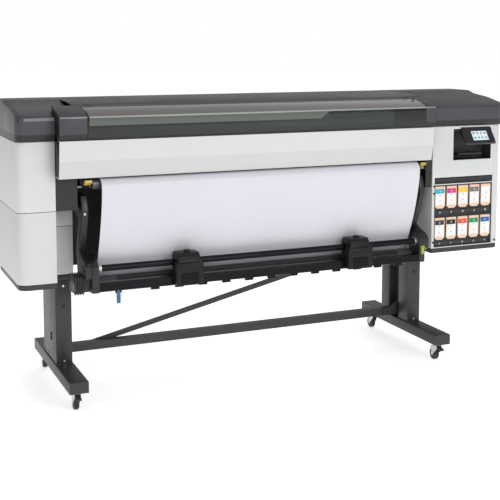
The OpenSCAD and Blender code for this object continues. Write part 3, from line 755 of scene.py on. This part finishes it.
class PRINTER_OT_camera(PrinterOperator, bpy.types.Operator):
    """Adds the camera, in front of the machine's left end"""

    bl_idname = "printer.camera"
    bl_label = "Camera"

    def execute(self, context):
        data = bpy.data.cameras.new("front_left_camera")
        data.sensor_width = 36.0
        data.lens = CAMERA_LENS
        data.shift_y = CAMERA_SHIFT
        data.dof.use_dof = False
        data.clip_end = 200
        camera = bpy.data.objects.new("front_left_camera", data)
        camera.location = CAMERA_PLACE
        camera.rotation_euler = (math.radians(90 - CAMERA_DOWN), 0, math.radians(-CAMERA_TURN))
        context.scene.collection.objects.link(camera)
        context.scene.camera = camera
        return {"FINISHED"}


def soft_light(name, place, target, size, power):
    data = bpy.data.lights.new(name, "AREA")
    data.shape = "RECTANGLE"
    data.size, data.size_y = size
    data.energy = power
    light = bpy.data.objects.new(name, data)
    light.location = place
    aim = Vector(target) - Vector(place)
    light.rotation_euler = aim.to_track_quat("-Z", "Y").to_euler()
    bpy.context.scene.collection.objects.link(light)
    return light


class PRINTER_OT_stage(PrinterOperator, bpy.types.Operator):
    """Adds the pale floor, the even surroundings and the soft lights"""

    bl_idname = "printer.stage"
    bl_label = "Floor and lights"

    def execute(self, context):
        deselect()
        bpy.ops.mesh.primitive_circle_add(vertices=64, radius=FLOOR_R, fill_type="NGON")
        floor = context.object
        floor.name = "studio_floor"
        f = Finish("studio_floor")
        soft = f.noise(0.7, 2.0)
        f.set(Base_Color=f.mix(f.spread(soft, 0, 1), (0.92, 0.92, 0.92), (0.94, 0.94, 0.94)),
              Roughness=f.spread(soft, 0.7, 0.8), Specular_IOR_Level=0.1,
              Emission_Color=(1, 1, 1), Emission_Strength=FLOOR_GLOW)
        floor.data.materials.append(f.material)

        world = bpy.data.worlds.new("studio")
        world.use_nodes = True
        tree = world.node_tree
        background = tree.nodes["Background"]
        background.inputs["Color"].default_value = (1.0, 1.0, 1.0, 1)
        seen = tree.nodes.new("ShaderNodeLightPath").outputs["Is Camera Ray"]
        strength = tree.nodes.new("ShaderNodeMapRange")
        strength.inputs["To Min"].default_value = FILL_LIGHT
        strength.inputs["To Max"].default_value = 1.0
        tree.links.new(seen, strength.inputs["Value"])
        tree.links.new(strength.outputs[0], background.inputs["Strength"])
        context.scene.world = world
        context.scene.view_settings.view_transform = "Standard"
        soft_light("key_front", (1.4, -6.4, 3.3), (0, 0, 0.9), (3.5, 2.5), 150)
        soft_light("side_left", (-5.5, -1.5, 2.4), (-0.6, 0, 0.9), (2.0, 3.0), 8)
        soft_light("top", (0, -0.8, 5.0), (0, 0, 1), (5.0, 2.0), 10)
        soft_light("strip_left", (-3.3, -4.9, 1.3), (-1.2, -0.2, 1.2), (0.35, 2.4), 22)
        back = soft_light("back", (2.5, 5.0, 3.0), (0, 0, 1), (4.0, 2.0), 70)
        back.visible_glossy = False
        return {"FINISHED"}


# ---- plain finishes on CAD nodes ----


def put_on(node, material):
    NODES[node].data.materials.clear()
    NODES[node].data.materials.append(material)


class PRINTER_OT_frame_finishes(PrinterOperator, bpy.types.Operator):
    """Gives each CAD node that stays its own finish"""

    bl_idname = "printer.frame_finishes"
    bl_label = "Finishes of the frame"

    def execute(self, context):
        stand = colours().stand
        plates = zinc_plate(
            "stand_hardware_zinc",
            [(within((None, None, 0.0942), (None, None, 0.1462)), stand, 0.45)],
        )
        put_on("stand_hardware", plates)
        for node in ("main_beam", "side_brackets"):
            put_on(node, chassis_black())
        for node in ("cross_beam", "diagonal_brace"):
            put_on(node, stand_grey())
        put_on("platen", bare_metal("platen_anodised", (0.12, 0.125, 0.135), 0.4))
        rail = bare_metal("rail_anodised", (0.22, 0.235, 0.23), 0.5, zones=[
            (round_axle(-0.095, 1.19, 0.0105), (0.62, 0.62, 0.63), 0.2, 1.0)])
        put_on("carriage_rail", rail)
        pulleys = lambda f: f.math("MAXIMUM",
                                   f.inside((-0.985, -0.0785, 1.2295), (-0.965, -0.069, 1.2505)),
                                   f.inside((0.55, -0.0785, 1.2295), (0.57, -0.069, 1.2505)))
        put_on("carriage_drive", moulded("drive_black", (0.014, 0.014, 0.015), 0.55, 500.0, 0.2, 0.1,
                                         [(pulleys, (0.5, 0.5, 0.51), 0.3)]))
        plate = within(OPEN, (None, None, 1.0618))
        put_on("carriage", moulded("carriage_shell", (0.035, 0.036, 0.04), 0.4, 700.0, 0.15, 0.08,
                                   [(plate, (0.55, 0.5, 0.35), 0.25)]))
        put_on("cutter_wheel", bare_metal("blade_ground", (0.62, 0.63, 0.65), 0.18, (1, 1, 1)))
        put_on("drive_roller", bare_metal("roller_grit", (0.16, 0.16, 0.165), 0.5, (1, 1, 1)))
        put_on("pinch_rollers", bare_metal("pinch_steel", (0.6, 0.6, 0.6), 0.25, zones=[
            (lambda f: f.math("GREATER_THAN", f.radius(0, 1.0558), 0.0045),
             (0.018, 0.018, 0.019), 0.7, 0.0)]))
        put_on("media_roll", vinyl("roll_vinyl", colours().media, True))
        put_on("take_up_core", moulded("core_black", (0.012, 0.012, 0.014), 0.35, 500.0, 0.08, 0.1, [
            (within(OPEN, (-0.8341, None, None)), (0.05, 0.05, 0.056), 0.4),
            (within((0.6401, None, None), OPEN), (0.05, 0.05, 0.056), 0.4),
            (round_axle(CORE_Y, CORE_Z, 0.0104), AXLE_STEEL, 0.3)]))
        put_on("take_up_bars", bare_metal("bar_anodised", (0.018, 0.018, 0.02), 0.34))
        put_on("edge_levers", moulded("lever_yellow", colours().yellow_lever, 0.38, 500.0, 0.08, 0.05, [
            (within((None, -0.318, None), OPEN), colours().chassis, 0.4),
            (round_axle(-0.27, 1.004, 0.0052), AXLE_STEEL, 0.3)]))
        put_on("bar_lever", moulded("lever_blue", colours().blue_lever, 0.35, 500.0, 0.08, 0.05))
        put_on("core_lever", moulded("lever_green", colours().green_lever, 0.38, 500.0, 0.08, 0.05))
        return {"FINISHED"}


# ---- covers and stand ----


class PRINTER_OT_covers(PrinterOperator, bpy.types.Operator):
    """Rounds the edges of the white covers, the grey caps and the lid"""

    bl_idname = "printer.covers"
    bl_label = "Covers"

    def execute(self, context):
        edge = sizes().cover_edge
        white = cover_white()
        for node in ("left_cover_upper", "left_cover_lower", "right_cover"):
            skinned(node, white, edge * 0.5)
        # Painted shade: the front panel's face below the crease is darkened
        shaded_low_face = within(OPEN, (None, None, CREASE_Z))
        # Painted highlight: a pale line along the lid's front top edge
        lid_edge_highlight = within((-1.0960, None, LID_EDGE_Z), (None, -0.3735, None))
        left_side = within(OPEN, (-1.0985, None, None))
        inlet = within((1.0, None, None), OPEN)
        front = white_plastic("panel_white", [(shaded_low_face, shade(colours().cover, 0.9), 0.5)])
        skinned("front_panel", front, edge * 0.7, segments=3)
        grey = cap_grey()
        for node in ("left_cap", "right_cap"):
            skinned(node, grey, edge * 0.7, degrees=12.0, segments=3)
        skinned("top_cover", grey, edge * 0.5, degrees=12.0)
        lid_grey = cap_plastic("lid_grey", shade(colours().cap, 0.9), [
            (left_side, shade(colours().chassis, 0.7), 0.6), (lid_edge_highlight, EDGE_HIGHLIGHT, 0.3)])
        skinned("lid_frame", lid_grey, edge * 0.6, "lid")
        skinned("base_trays", stand_grey(), edge * 0.6)
        back = white_plastic("rear_white", [(inlet, (0.02, 0.02, 0.021), 0.4)])
        skinned("rear_panel", back, edge * 0.25)
        return {"FINISHED"}


class PRINTER_OT_window(PrinterOperator, bpy.types.Operator):
    """Makes the smoked window and the seals along its ends"""

    bl_idname = "printer.window"
    bl_label = "Window"

    def execute(self, context):
        pane = skin("lid_window", 0.0012, 20.0, 2)
        dress(pane, smoked_acrylic("smoked_acrylic", colours().smoke))
        hand_over(pane, "lid", ["lid_window"])
        low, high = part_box("lid_window")
        seals = []
        for x, side in ((low.x + 0.001, 1), (high.x - 0.001, -1)):
            inner = x + side * SEAL_W
            strip = block("seal", (min(x, inner), -0.3715, low.z + 0.004),
                          (max(x, inner), -0.3665, high.z - 0.045))
            seals.append(shaped(strip, (FRONT, 0.003, -0.0012), edge=0.0006))
        hand_over(dress(join("window_seals", seals), rubber("seal_rubber")), "lid")
        return {"FINISHED"}


class PRINTER_OT_stand(PrinterOperator, bpy.types.Operator):
    """Rounds the feet and legs, and adds the weld beads"""

    bl_idname = "printer.stand"
    bl_label = "Stand"

    def execute(self, context):
        edge = sizes().metal_edge
        for node in ("left_foot", "right_foot", "left_leg", "right_leg"):
            skinned(node, stand_grey(), edge)
        beads = []
        for x in LEG_X:
            for y in (-0.1, 0.172):
                bead = rod("bead", (x, y, FOOT_TOP), 0.0028, 0.072, "X", 12)
                beads.append(shaped(bead, (facing((1, 0, 0)), 0.0008, 0.0006)))
        weld = join("weld_beads", beads)
        smooth(weld, 50)
        hand_over(dress(weld, stand_grey()), MACHINE)
        return {"FINISHED"}


# ---- casters ----


class PRINTER_OT_casters(PrinterOperator, bpy.types.Operator):
    """Makes the casters' forks, wheels, fenders and pedals"""

    bl_idname = "printer.casters"
    bl_label = "Casters"

    def execute(self, context):
        tyre = rubber("caster_tyre")
        hub = moulded("caster_hub", (0.03, 0.03, 0.033), 0.4, 500.0, 0.1, 0.1)
        for key, (x, y) in CASTERS.items():
            wheel = skin("caster_wheel_" + key, 0.0009, 30.0, 2)
            dress(wheel, hub, tyre)
            axle = (x, y + 0.02, WHEEL_R)
            paint(wheel, 1, lambda middle, normal: math.dist(middle[1:], axle[1:]) > 0.0255)
            hand_over(wheel, "wheel_" + key, ["caster_wheel_" + key])
            fork = dress(skin("caster_fork_" + key, 0.0005, 30.0, 2), zinc())
            hand_over(fork, "fork_" + key, ["caster_fork_" + key])

            fender = rod("fender", axle, 0.0375, 0.025, "X", 40)
            remove_faces(fender, x_ends)
            remove_faces(fender, lambda middle, normal: middle.z < 0.044 or middle.y > y + 0.045)
            run_modifier(fender, "SOLIDIFY", thickness=0.0022, offset=1.0)
            round_edges(fender, 0.0005)
            fender.name = "caster_fender_" + key
            hand_over(dress(fender, hub), "fork_" + key)
        for key in ("fl", "fr"):
            pedal = dress(skin("brake_lever_" + key, 0.0006, 25.0, 2), hub)
            hand_over(pedal, "brake_" + key, ["brake_lever_" + key])
        return {"FINISHED"}


# ---- screws ----


def screw_head(radius, recess_sides):
    """A domed screw head at the origin that faces -Y, with a recess for its driver."""
    head = rod("screw", (0, 0, 0), radius, radius * 0.7, "Y", 20)
    shaped(head, (FRONT, radius * 0.25, radius * 0.12), (FRONT, radius * 0.12, 0.0))
    tool = rod("driver", (0, -radius * 0.4, 0), radius * 0.42, radius * 0.6, "Y", recess_sides)
    inset(tool, facing((0, 1, 0)), radius * 0.04, 0.0)
    cut(head, tool)
    smooth(head, 30)
    return head


def on_face(y, turn, *spots):
    """Places at a depth for the (X, Z) spots, each with the head's turn."""
    return [((x, y, z), turn) for x, z in spots]


class PRINTER_OT_screws(PrinterOperator, bpy.types.Operator):
    """Adds the screws that show on the covers, arms and legs"""

    bl_idname = "printer.screws"
    bl_label = "Screws"

    def execute(self, context):
        small = screw_head(sizes().screw_r, 6)
        large = screw_head(sizes().bolt_r, 6)
        left = Matrix.Rotation(math.radians(-90), 4, "Z")
        back = Matrix.Rotation(math.radians(180), 4, "Z")
        groups = {
            "cover_screws": (small, screw_black(), "cover_white", [
                *on_face(-0.2935, None, (0.856, 0.906), (0.856, 0.868), (0.856, 0.612),
                         (1.208, 0.600), (1.238, 0.600)),
                *on_face(-0.1345, None, (-1.088, 0.84), (-1.088, 0.72)),
                *on_face(0.2065, back, (-1.2, 1.17), (-1.2, 0.95), (-1.2, 0.86), (-1.2, 0.62),
                         (0.9, 1.17), (0.9, 0.62), (1.22, 1.17), (1.22, 0.62)),
                *on_face(0.2025, back, (-1.06, 1.1), (-0.4, 1.1), (0.2, 1.1), (0.8, 1.1))]),
            "leg_bolts": (large, screw_black(), "zinc", [
                *on_face(-0.1015, None, (LEG_X[0], 0.42), (LEG_X[1], 0.42)),
                *on_face(0.0, left, (LEG_X[0] - 0.0395, 0.27), (LEG_X[0] - 0.0395, 0.25)),
                *on_face(0.1735, back, (LEG_X[0], 0.42), (LEG_X[1], 0.42))]),
            "arm_bright_screw": (small, zinc(), "arm_black", on_face(-0.3145, None, (-0.978, 0.886))),
            "arm_screws": (small, screw_black(), "arm_black", [
                *on_face(-0.350, None, (-0.972, 0.664)), *on_face(-0.3695, None, (-0.952, 0.636)),
                *on_face(-0.3145, None, (0.770, 0.886)),
                *on_face(-0.3695, None, (0.748, 0.640), (-0.952, 0.556))]),
        }
        for name, (head, material, slot, places) in groups.items():
            copies = [copy_at(head, "s", spot, turn) for spot, turn in places]
            hand_over(dress(join(name, copies), material), MACHINE)
        for head in (small, large):
            bpy.data.objects.remove(head)
        return {"FINISHED"}


# ---- control panel ----

TILE_COLOURS = [(0.02, 0.10, 0.22), (0.05, 0.30, 0.36), (0.25, 0.28, 0.30), (0.02, 0.16, 0.30)]
TILE_STEP = 0.0226
TILE_W = 0.0124
TILE_H = 0.0115
PANEL_MIDDLE_X = 1.102


def panel_matrix():
    """From a flat panel's own plane (X along, Y up the panel, Z out of it) to its place."""
    top = Vector((0, DISPLAY_TOP[0], DISPLAY_TOP[1]))
    bottom = Vector((0, DISPLAY_LOW[0], DISPLAY_LOW[1]))
    up = (top - bottom).normalized()
    across = Vector((1, 0, 0))
    out = across.cross(up)
    matrix = Matrix((across, up, out)).transposed().to_4x4()
    matrix.translation = (top + bottom) / 2 + Vector((PANEL_MIDDLE_X, 0, 0))
    return matrix


class PRINTER_OT_display(PrinterOperator, bpy.types.Operator):
    """Makes the tilting control panel with its lit screen and tiles"""

    bl_idname = "printer.display"
    bl_label = "Control panel"

    def execute(self, context):
        shell = dress(skin("control_panel", 0.0015, 30.0, 3),
                      moulded("panel_shell", (0.02, 0.021, 0.023), 0.35, 600.0, 0.1, 0.08))
        hand_over(shell, "display", ["control_panel"])
        place = panel_matrix()
        bezel = shaped(block("display_bezel", (-0.086, -0.042, -0.001), (0.086, 0.042, 0.0025)),
                       (TOP, 0.004, 0.0), (TOP, 0.0008, -0.0008), edge=0.0006)
        bezel.data.transform(place)
        hand_over(dress(bezel, gloss_black()), "display")

        glow = lamp("screen_light", colours().screen, 0.35)
        screen = shaped(block("display_screen", (-0.042, -0.031, 0.0012), (0.052, 0.023, 0.0022)),
                        (TOP, 0.0015, 0.0002))
        screen.data.transform(place)
        hand_over(dress(screen, glow), "display")

        for row, y in enumerate((0.0105, -0.0165)):
            tiles = []
            for column, tile_colour in enumerate(TILE_COLOURS):
                x = -0.029 + TILE_STEP * column
                tile = block("tile", (x - TILE_W / 2, y - TILE_H / 2, 0.0022),
                             (x + TILE_W / 2, y + TILE_H / 2, 0.0028))
                shaped(tile, (TOP, 0.002, 0.0))
                dress(tile, lamp("tile_edge_%d_%d" % (row, column), tile_colour, 0.3),
                      lamp("tile_middle_%d_%d" % (row, column), (0.35, 0.4, 0.42), 0.3))
                paint(tile, 1, lambda middle, normal: normal.z > 0.9
                      and max(abs(middle.x - x), abs(middle.y - y)) < 0.004)
                tiles.append(tile)
            tiles = join("display_tiles_%d" % row, tiles)
            tiles.data.transform(place)
            hand_over(tiles, "display")

        ledge = shaped(block("display_ledge", (1.004, -0.289, 1.060), (1.148, -0.222, 1.070)),
                       (FRONT, 0.002, -0.002), (TOP, 0.004, -0.001), edge=0.0008)
        hand_over(dress(ledge, gloss_black()), MACHINE)

        lining = block("recess_lining", (0.9703, -0.2926, 1.0373), (1.2027, -0.2155, 1.1977))
        remove_faces(lining, FRONT)
        run_modifier(lining, "SOLIDIFY", thickness=0.0012, offset=1.0)
        smooth(lining, 30)
        dress(lining, moulded("recess_dark", (0.030, 0.030, 0.034), 0.45, 600.0, 0.12, 0.08))
        hand_over(lining, MACHINE)
        return {"FINISHED"}


# ---- ink bay ----

# Each strip's lowest and highest Z, and the Y of its face
BAY_STRIPS = [(0.9175, 0.9445, -0.2905), (0.7455, 0.7785, -0.2875), (0.5935, 0.6145, -0.2875)]
INKS = [
    (0.02, 0.38, 0.56), (0.65, 0.012, 0.22), (0.85, 0.55, 0.03), (0.16, 0.15, 0.17), (0.78, 0.80, 0.80),
    (0.012, 0.03, 0.038), (0.011, 0.009, 0.014), (0.75, 0.07, 0.05), (0.01, 0.25, 0.08),
    (0.01, 0.10, 0.36),
]


class PRINTER_OT_cartridges(PrinterOperator, bpy.types.Operator):
    """Makes the ink cartridges, each with its coloured top band, its label and its pull tab"""

    bl_idname = "printer.cartridges"
    bl_label = "Cartridges"

    def execute(self, context):
        box_card = card("carton_card", colours().carton)
        label_white = printed("label_white", (0.80, 0.80, 0.80))
        black = printed("label_mark", (0.38, 0.38, 0.39))
        for i in range(1, CARTRIDGE_COUNT + 1):
            node = "cartridge_%d" % i
            low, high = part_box(node)
            body = "ink_%d" % i
            ink = printed("ink_band_%d" % i, INKS[i - 1])
            carton = skin(node, 0.0014, 30.0, 2)
            hand_over(dress(carton, box_card), body, [node])
            middle = (low.x + high.x) / 2
            front = low.y
            top = high.z
            side = high.x - 0.0055
            spot = (middle - 0.001, top - 0.0245)
            band = shaped(block("ink_band_%02d" % i, (low.x + 0.0012, front - 0.0008, top - 0.037),
                                (side, front + 0.001, top - 0.0125)), (FRONT, 0.001, -0.0002))
            drop = shaped(rod("drop", (spot[0], front - 0.0009, spot[1]), 0.0042, 0.0008, "Y", 16),
                          (FRONT, 0.001, 0.0002))
            band = join("ink_band_%02d" % i, [band, drop])
            dress(band, ink, printed("ink_drop_%d" % i, [0.45 + 0.5 * c for c in INKS[i - 1]]))
            paint(band, 1, lambda m, n: math.dist((m.x, m.z), spot) < 0.0045 and m.y < front - 0.00085)
            hand_over(band, body)
            label = shaped(block("ink_label_%02d" % i, (low.x + 0.0012, front - 0.0008, low.z + 0.0165),
                                 (side, front + 0.001, top - 0.037)), (FRONT, 0.0008, -0.0001))
            pick_faces(label, FRONT)
            bpy.ops.mesh.subdivide(number_cuts=11)
            close_edit()
            dress(label, label_white, black)
            for drop_z in (top - 0.0455, top - 0.0755):
                paint(label, 1, lambda m, n: n.y < -0.9 and abs(m.x - spot[0]) < 0.0045
                      and abs(m.z - drop_z) < 0.0022)
            hand_over(label, body)
            tab = shaped(block("pull_tab_%02d" % i, (middle - 0.011, front - 0.0022, low.z + 0.009),
                               (middle + 0.011, front + 0.001, low.z + 0.021)),
                         (FRONT, 0.0025, -0.0018), edge=0.0006)
            hand_over(dress(tab, box_card), body)
        return {"FINISHED"}


class PRINTER_OT_ink_bay(PrinterOperator, bpy.types.Operator):
    """Finishes the ink bay: its gloss strips, its colour dots and its white sill"""

    bl_idname = "printer.ink_bay"
    bl_label = "Ink bay"

    def execute(self, context):
        housing = dress(skin("ink_bay", 0.0008, 30.0, 2),
                        moulded("bay_plastic", (0.018, 0.018, 0.021), 0.38, 600.0, 0.12, 0.08))
        hand_over(housing, MACHINE, ["ink_bay"])
        strips = []
        for z0, z1, depth in BAY_STRIPS:
            strip = block("strip", (0.8685, depth, z0), (1.2085, -0.2832, z1))
            strips.append(shaped(strip, (FRONT, 0.0022, -0.0006), edge=0.0007))
        hand_over(dress(join("bay_strips", strips), gloss_black()), MACHINE)
        for i in range(CARTRIDGE_COUNT):
            low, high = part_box("cartridge_%d" % (i + 1))
            z = 0.767 if i < 5 else 0.604
            dot = shaped(rod("ink_dot_%02d" % (i + 1), ((low.x + high.x) / 2, -0.288, z),
                             0.0052, 0.0026, "Y", 24), (FRONT, 0.0012, 0.0006))
            smooth(dot, 40)
            dress(dot, printed("dot_%d" % (i + 1), [0.22 + 0.35 * c for c in INKS[i]], 0.3))
            hand_over(dot, MACHINE)
        sill = shaped(block("bay_sill", (0.862, -0.2925, 0.9105), (1.2155, -0.280, 0.9155)),
                      (FRONT, 0.001, -0.0004), edge=0.0005)
        hand_over(dress(sill, cover_white()), MACHINE)
        return {"FINISHED"}


# ---- media ----


SHEET_HALF = 0.00075
LIP_R = 0.04
BOW_BACK = 0.142
BOW_DROP = 0.436
BOW_POWER = 1.55
CORE_WRAP_R = 0.0394


def arc(centre, radius, angles):
    """Points (Y, Z) round a centre at those angles in degrees."""
    return [(centre[0] + radius * math.cos(math.radians(a)),
             centre[1] + radius * math.sin(math.radians(a))) for a in angles]


def sheet_path():
    """The sheet's middle line in (Y, Z), from the supply roll to behind the core."""
    middle = SHEET_Z + SHEET_HALF
    start = (ROLL_Y - ROLL_R - SHEET_HALF - 0.0005, ROLL_Z)
    bend = (0.120, PLATEN_TOP - 0.040)
    bend_r = 0.04125
    end = (bend[0] + bend_r, bend[1])
    points = [(start[0] + (end[0] - start[0]) * i / 8, start[1] + (end[1] - start[1]) * i / 8)
              for i in range(8)]
    points += arc(bend, bend_r, range(0, 91, 9))
    points += [(0.120 - 0.46 * i / 16, middle) for i in range(1, 16)]
    lip = (-0.340, middle - LIP_R)
    points += arc(lip, LIP_R, range(90, 181, 9))
    points += [(lip[0] - LIP_R + BOW_BACK * (i / 36) ** BOW_POWER, lip[1] - BOW_DROP * i / 36)
               for i in range(1, 37)]
    points += arc((CORE_Y, CORE_Z), CORE_WRAP_R, range(12, -91, -6))
    return points


class PRINTER_OT_sheet(PrinterOperator, bpy.types.Operator):
    """Makes the vinyl sheet that runs over the platen and hangs in front"""

    bl_idname = "printer.sheet"
    bl_label = "Sheet"

    def execute(self, context):
        path = sheet_path()
        low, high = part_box("media_sheet")
        width = high.x - low.x - 0.001
        columns = 60
        deselect()
        bpy.ops.mesh.primitive_grid_add(x_subdivisions=columns, y_subdivisions=len(path) - 1, size=1)
        sheet = context.object
        sheet.name = "vinyl_sheet"
        ripple = sizes().ripple
        for vertex in sheet.data.vertices:
            along = vertex.co.x + 0.5
            row = round((vertex.co.y + 0.5) * (len(path) - 1))
            y, z = path[row]
            x = low.x + 0.0005 + width * along
            hang = min(1.0, max(0.0, (1.0 - z) / 0.15)) if y < -0.2 else 0.0
            hang *= min(1.0, max(0.0, (z - 0.6) / 0.1))
            wave = math.sin(along * 9.0 + z * 4.0) + 0.5 * math.sin(along * 23.0 - z * 9.0 + 1.3)
            vertex.co = (x, y + ripple * hang * wave, z)
        run_modifier(sheet, "SOLIDIFY", thickness=sizes().sheet_t, offset=0.0)
        smooth(sheet, 60)
        dress(sheet, vinyl("sheet_vinyl", colours().media))
        hand_over(sheet, MACHINE, ["media_sheet"])
        return {"FINISHED"}


# ---- take-up reel ----


class PRINTER_OT_take_up(PrinterOperator, bpy.types.Operator):
    """Finishes the take-up arms, guides, collars and hubs"""

    bl_idname = "printer.take_up"
    bl_label = "Take-up reel"

    def execute(self, context):
        for node in ("left_arm", "right_arm"):
            skinned(node, arm_black(), 0.0014)
        guide_black = moulded("guide_black", (0.007, 0.007, 0.0075), 0.42, 500.0, 0.3, 0.1, (), 0.25)
        for node, body in (("left_guide", "guide_l"), ("right_guide", "guide_r")):
            skinned(node, guide_black, 0.002, body)
            low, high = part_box(node)
            middle = (low.x + high.x) / 2
            ribs = []
            for i in range(9):
                z = 0.554 + 0.0048 * i
                rib = block("rib", (middle - 0.039, -0.4046, z), (middle + 0.039, -0.3985, z + 0.0022))
                ribs.append(shaped(rib, (FRONT, 0.0007, 0.0)))
            hand_over(dress(join(node + "_ribs", ribs), guide_black), body)
            knob = rod(node + "_knob", (middle, -0.358, 0.691), 0.014, 0.016, "Z", 24)
            shaped(knob, (TOP, 0.003, 0.0), (TOP, 0.001, -0.002))
            pick_faces(knob, lambda m, n: abs(n.z) < 0.2
                       and round(math.degrees(math.atan2(n.y, n.x))) % 30 < 16)
            bpy.ops.mesh.inset(thickness=0.0004, depth=0.0012, use_individual=False)
            close_edit()
            round_edges(knob, 0.0004)
            hand_over(dress(knob, guide_black), body)
        collar_parts = []
        for x in (-0.925, -0.917, 0.716, 0.724):
            collar = rod("collar", (x, BAR_Y, BAR_Z), 0.0195, 0.006, "X", 32)
            collar_parts.append(shaped(collar, (x_ends, 0.0016, -0.0006)))
        collars = join("bar_collars", collar_parts)
        smooth(collars, 40)
        hand_over(dress(collars, zinc()), MACHINE)
        hub_parts = []
        for x, side in ((-0.834, 1), (0.640, -1)):
            ring = rod("ring", (x - side * 0.004, CORE_Y, CORE_Z), 0.0357, 0.006, "X", 48)
            hub_parts.append(shaped(ring, (x_ends, 0.0012, -0.0004)))
        for x in (-0.88, 0.68):
            for y, z in arc((CORE_Y, CORE_Z), HUB_R, (200, 320, 440)):
                pad = block("pad", (x - 0.024, y - 0.0024, z - 0.0012),
                            (x + 0.024, y + 0.0024, z + 0.0012))
                hub_parts.append(shaped(pad, (lambda m, n: abs(n.z) > 0.9, 0.001, 0.0003)))
        rings = join("hub_rings", hub_parts)
        smooth(rings, 40)
        dress(rings, moulded("hub_grey", (0.07, 0.07, 0.077), 0.42, 500.0, 0.12, 0.08))
        hand_over(rings, "take_up")
        return {"FINISHED"}


# ---- under the lid and behind ----


class PRINTER_OT_inside(PrinterOperator, bpy.types.Operator):
    """Adds the pinch rollers' holders, which show through the window"""

    bl_idname = "printer.inside"
    bl_label = "Under the lid"

    def execute(self, context):
        dark = moulded("holder_black", (0.016, 0.016, 0.017), 0.4, 500.0, 0.15, 0.1)
        holders = []
        for i in range(15):
            x = -0.875 + 0.112 * i
            arm = block("arm", (x - 0.011, -0.010, 1.068), (x + 0.011, 0.046, 1.086))
            inset(arm, TOP, 0.003, 0.0015)
            push(arm, facing((0, 1, 0)), (0, 0.02, 0.022))
            round_edges(arm, 0.001)
            holders.append(arm)
        hand_over(dress(join("pinch_holders", holders), dark), MACHINE)
        return {"FINISHED"}


PIECES = [
    PRINTER_OT_camera, PRINTER_OT_stage, PRINTER_OT_frame_finishes, PRINTER_OT_covers,
    PRINTER_OT_window, PRINTER_OT_stand, PRINTER_OT_casters, PRINTER_OT_screws,
    PRINTER_OT_display, PRINTER_OT_cartridges, PRINTER_OT_ink_bay, PRINTER_OT_sheet,
    PRINTER_OT_take_up, PRINTER_OT_inside,
]


class PRINTER_PT_panel(bpy.types.Panel):
    """Lists the printer's sizes, colours and operators"""

    bl_idname = "PRINTER_PT_panel"
    bl_label = "Printer cutter"
    bl_space_type = "VIEW_3D"
    bl_region_type = "UI"
    bl_category = "Printer cutter"

    def draw(self, context):
        for group in (context.scene.printer_sizes, context.scene.printer_colours):
            box = self.layout.box()
            for key in group.__annotations__:
                box.prop(group, key)
        for piece in PIECES:
            self.layout.operator(piece.bl_idname)


CLASSES = [PrinterColours, PrinterSizes, *PIECES, PRINTER_PT_panel]


def register():
    for item in CLASSES:
        bpy.utils.register_class(item)
    bpy.types.Scene.printer_colours = bpy.props.PointerProperty(type=PrinterColours)
    bpy.types.Scene.printer_sizes = bpy.props.PointerProperty(type=PrinterSizes)


def unregister():
    del bpy.types.Scene.printer_sizes
    del bpy.types.Scene.printer_colours
    for item in reversed(CLASSES):
        bpy.utils.unregister_class(item)


def main():
    register()
    for piece in PIECES:
        getattr(bpy.ops.printer, piece.bl_idname.split(".")[1])()
    deselect()


if __name__ == "__main__":
    main()
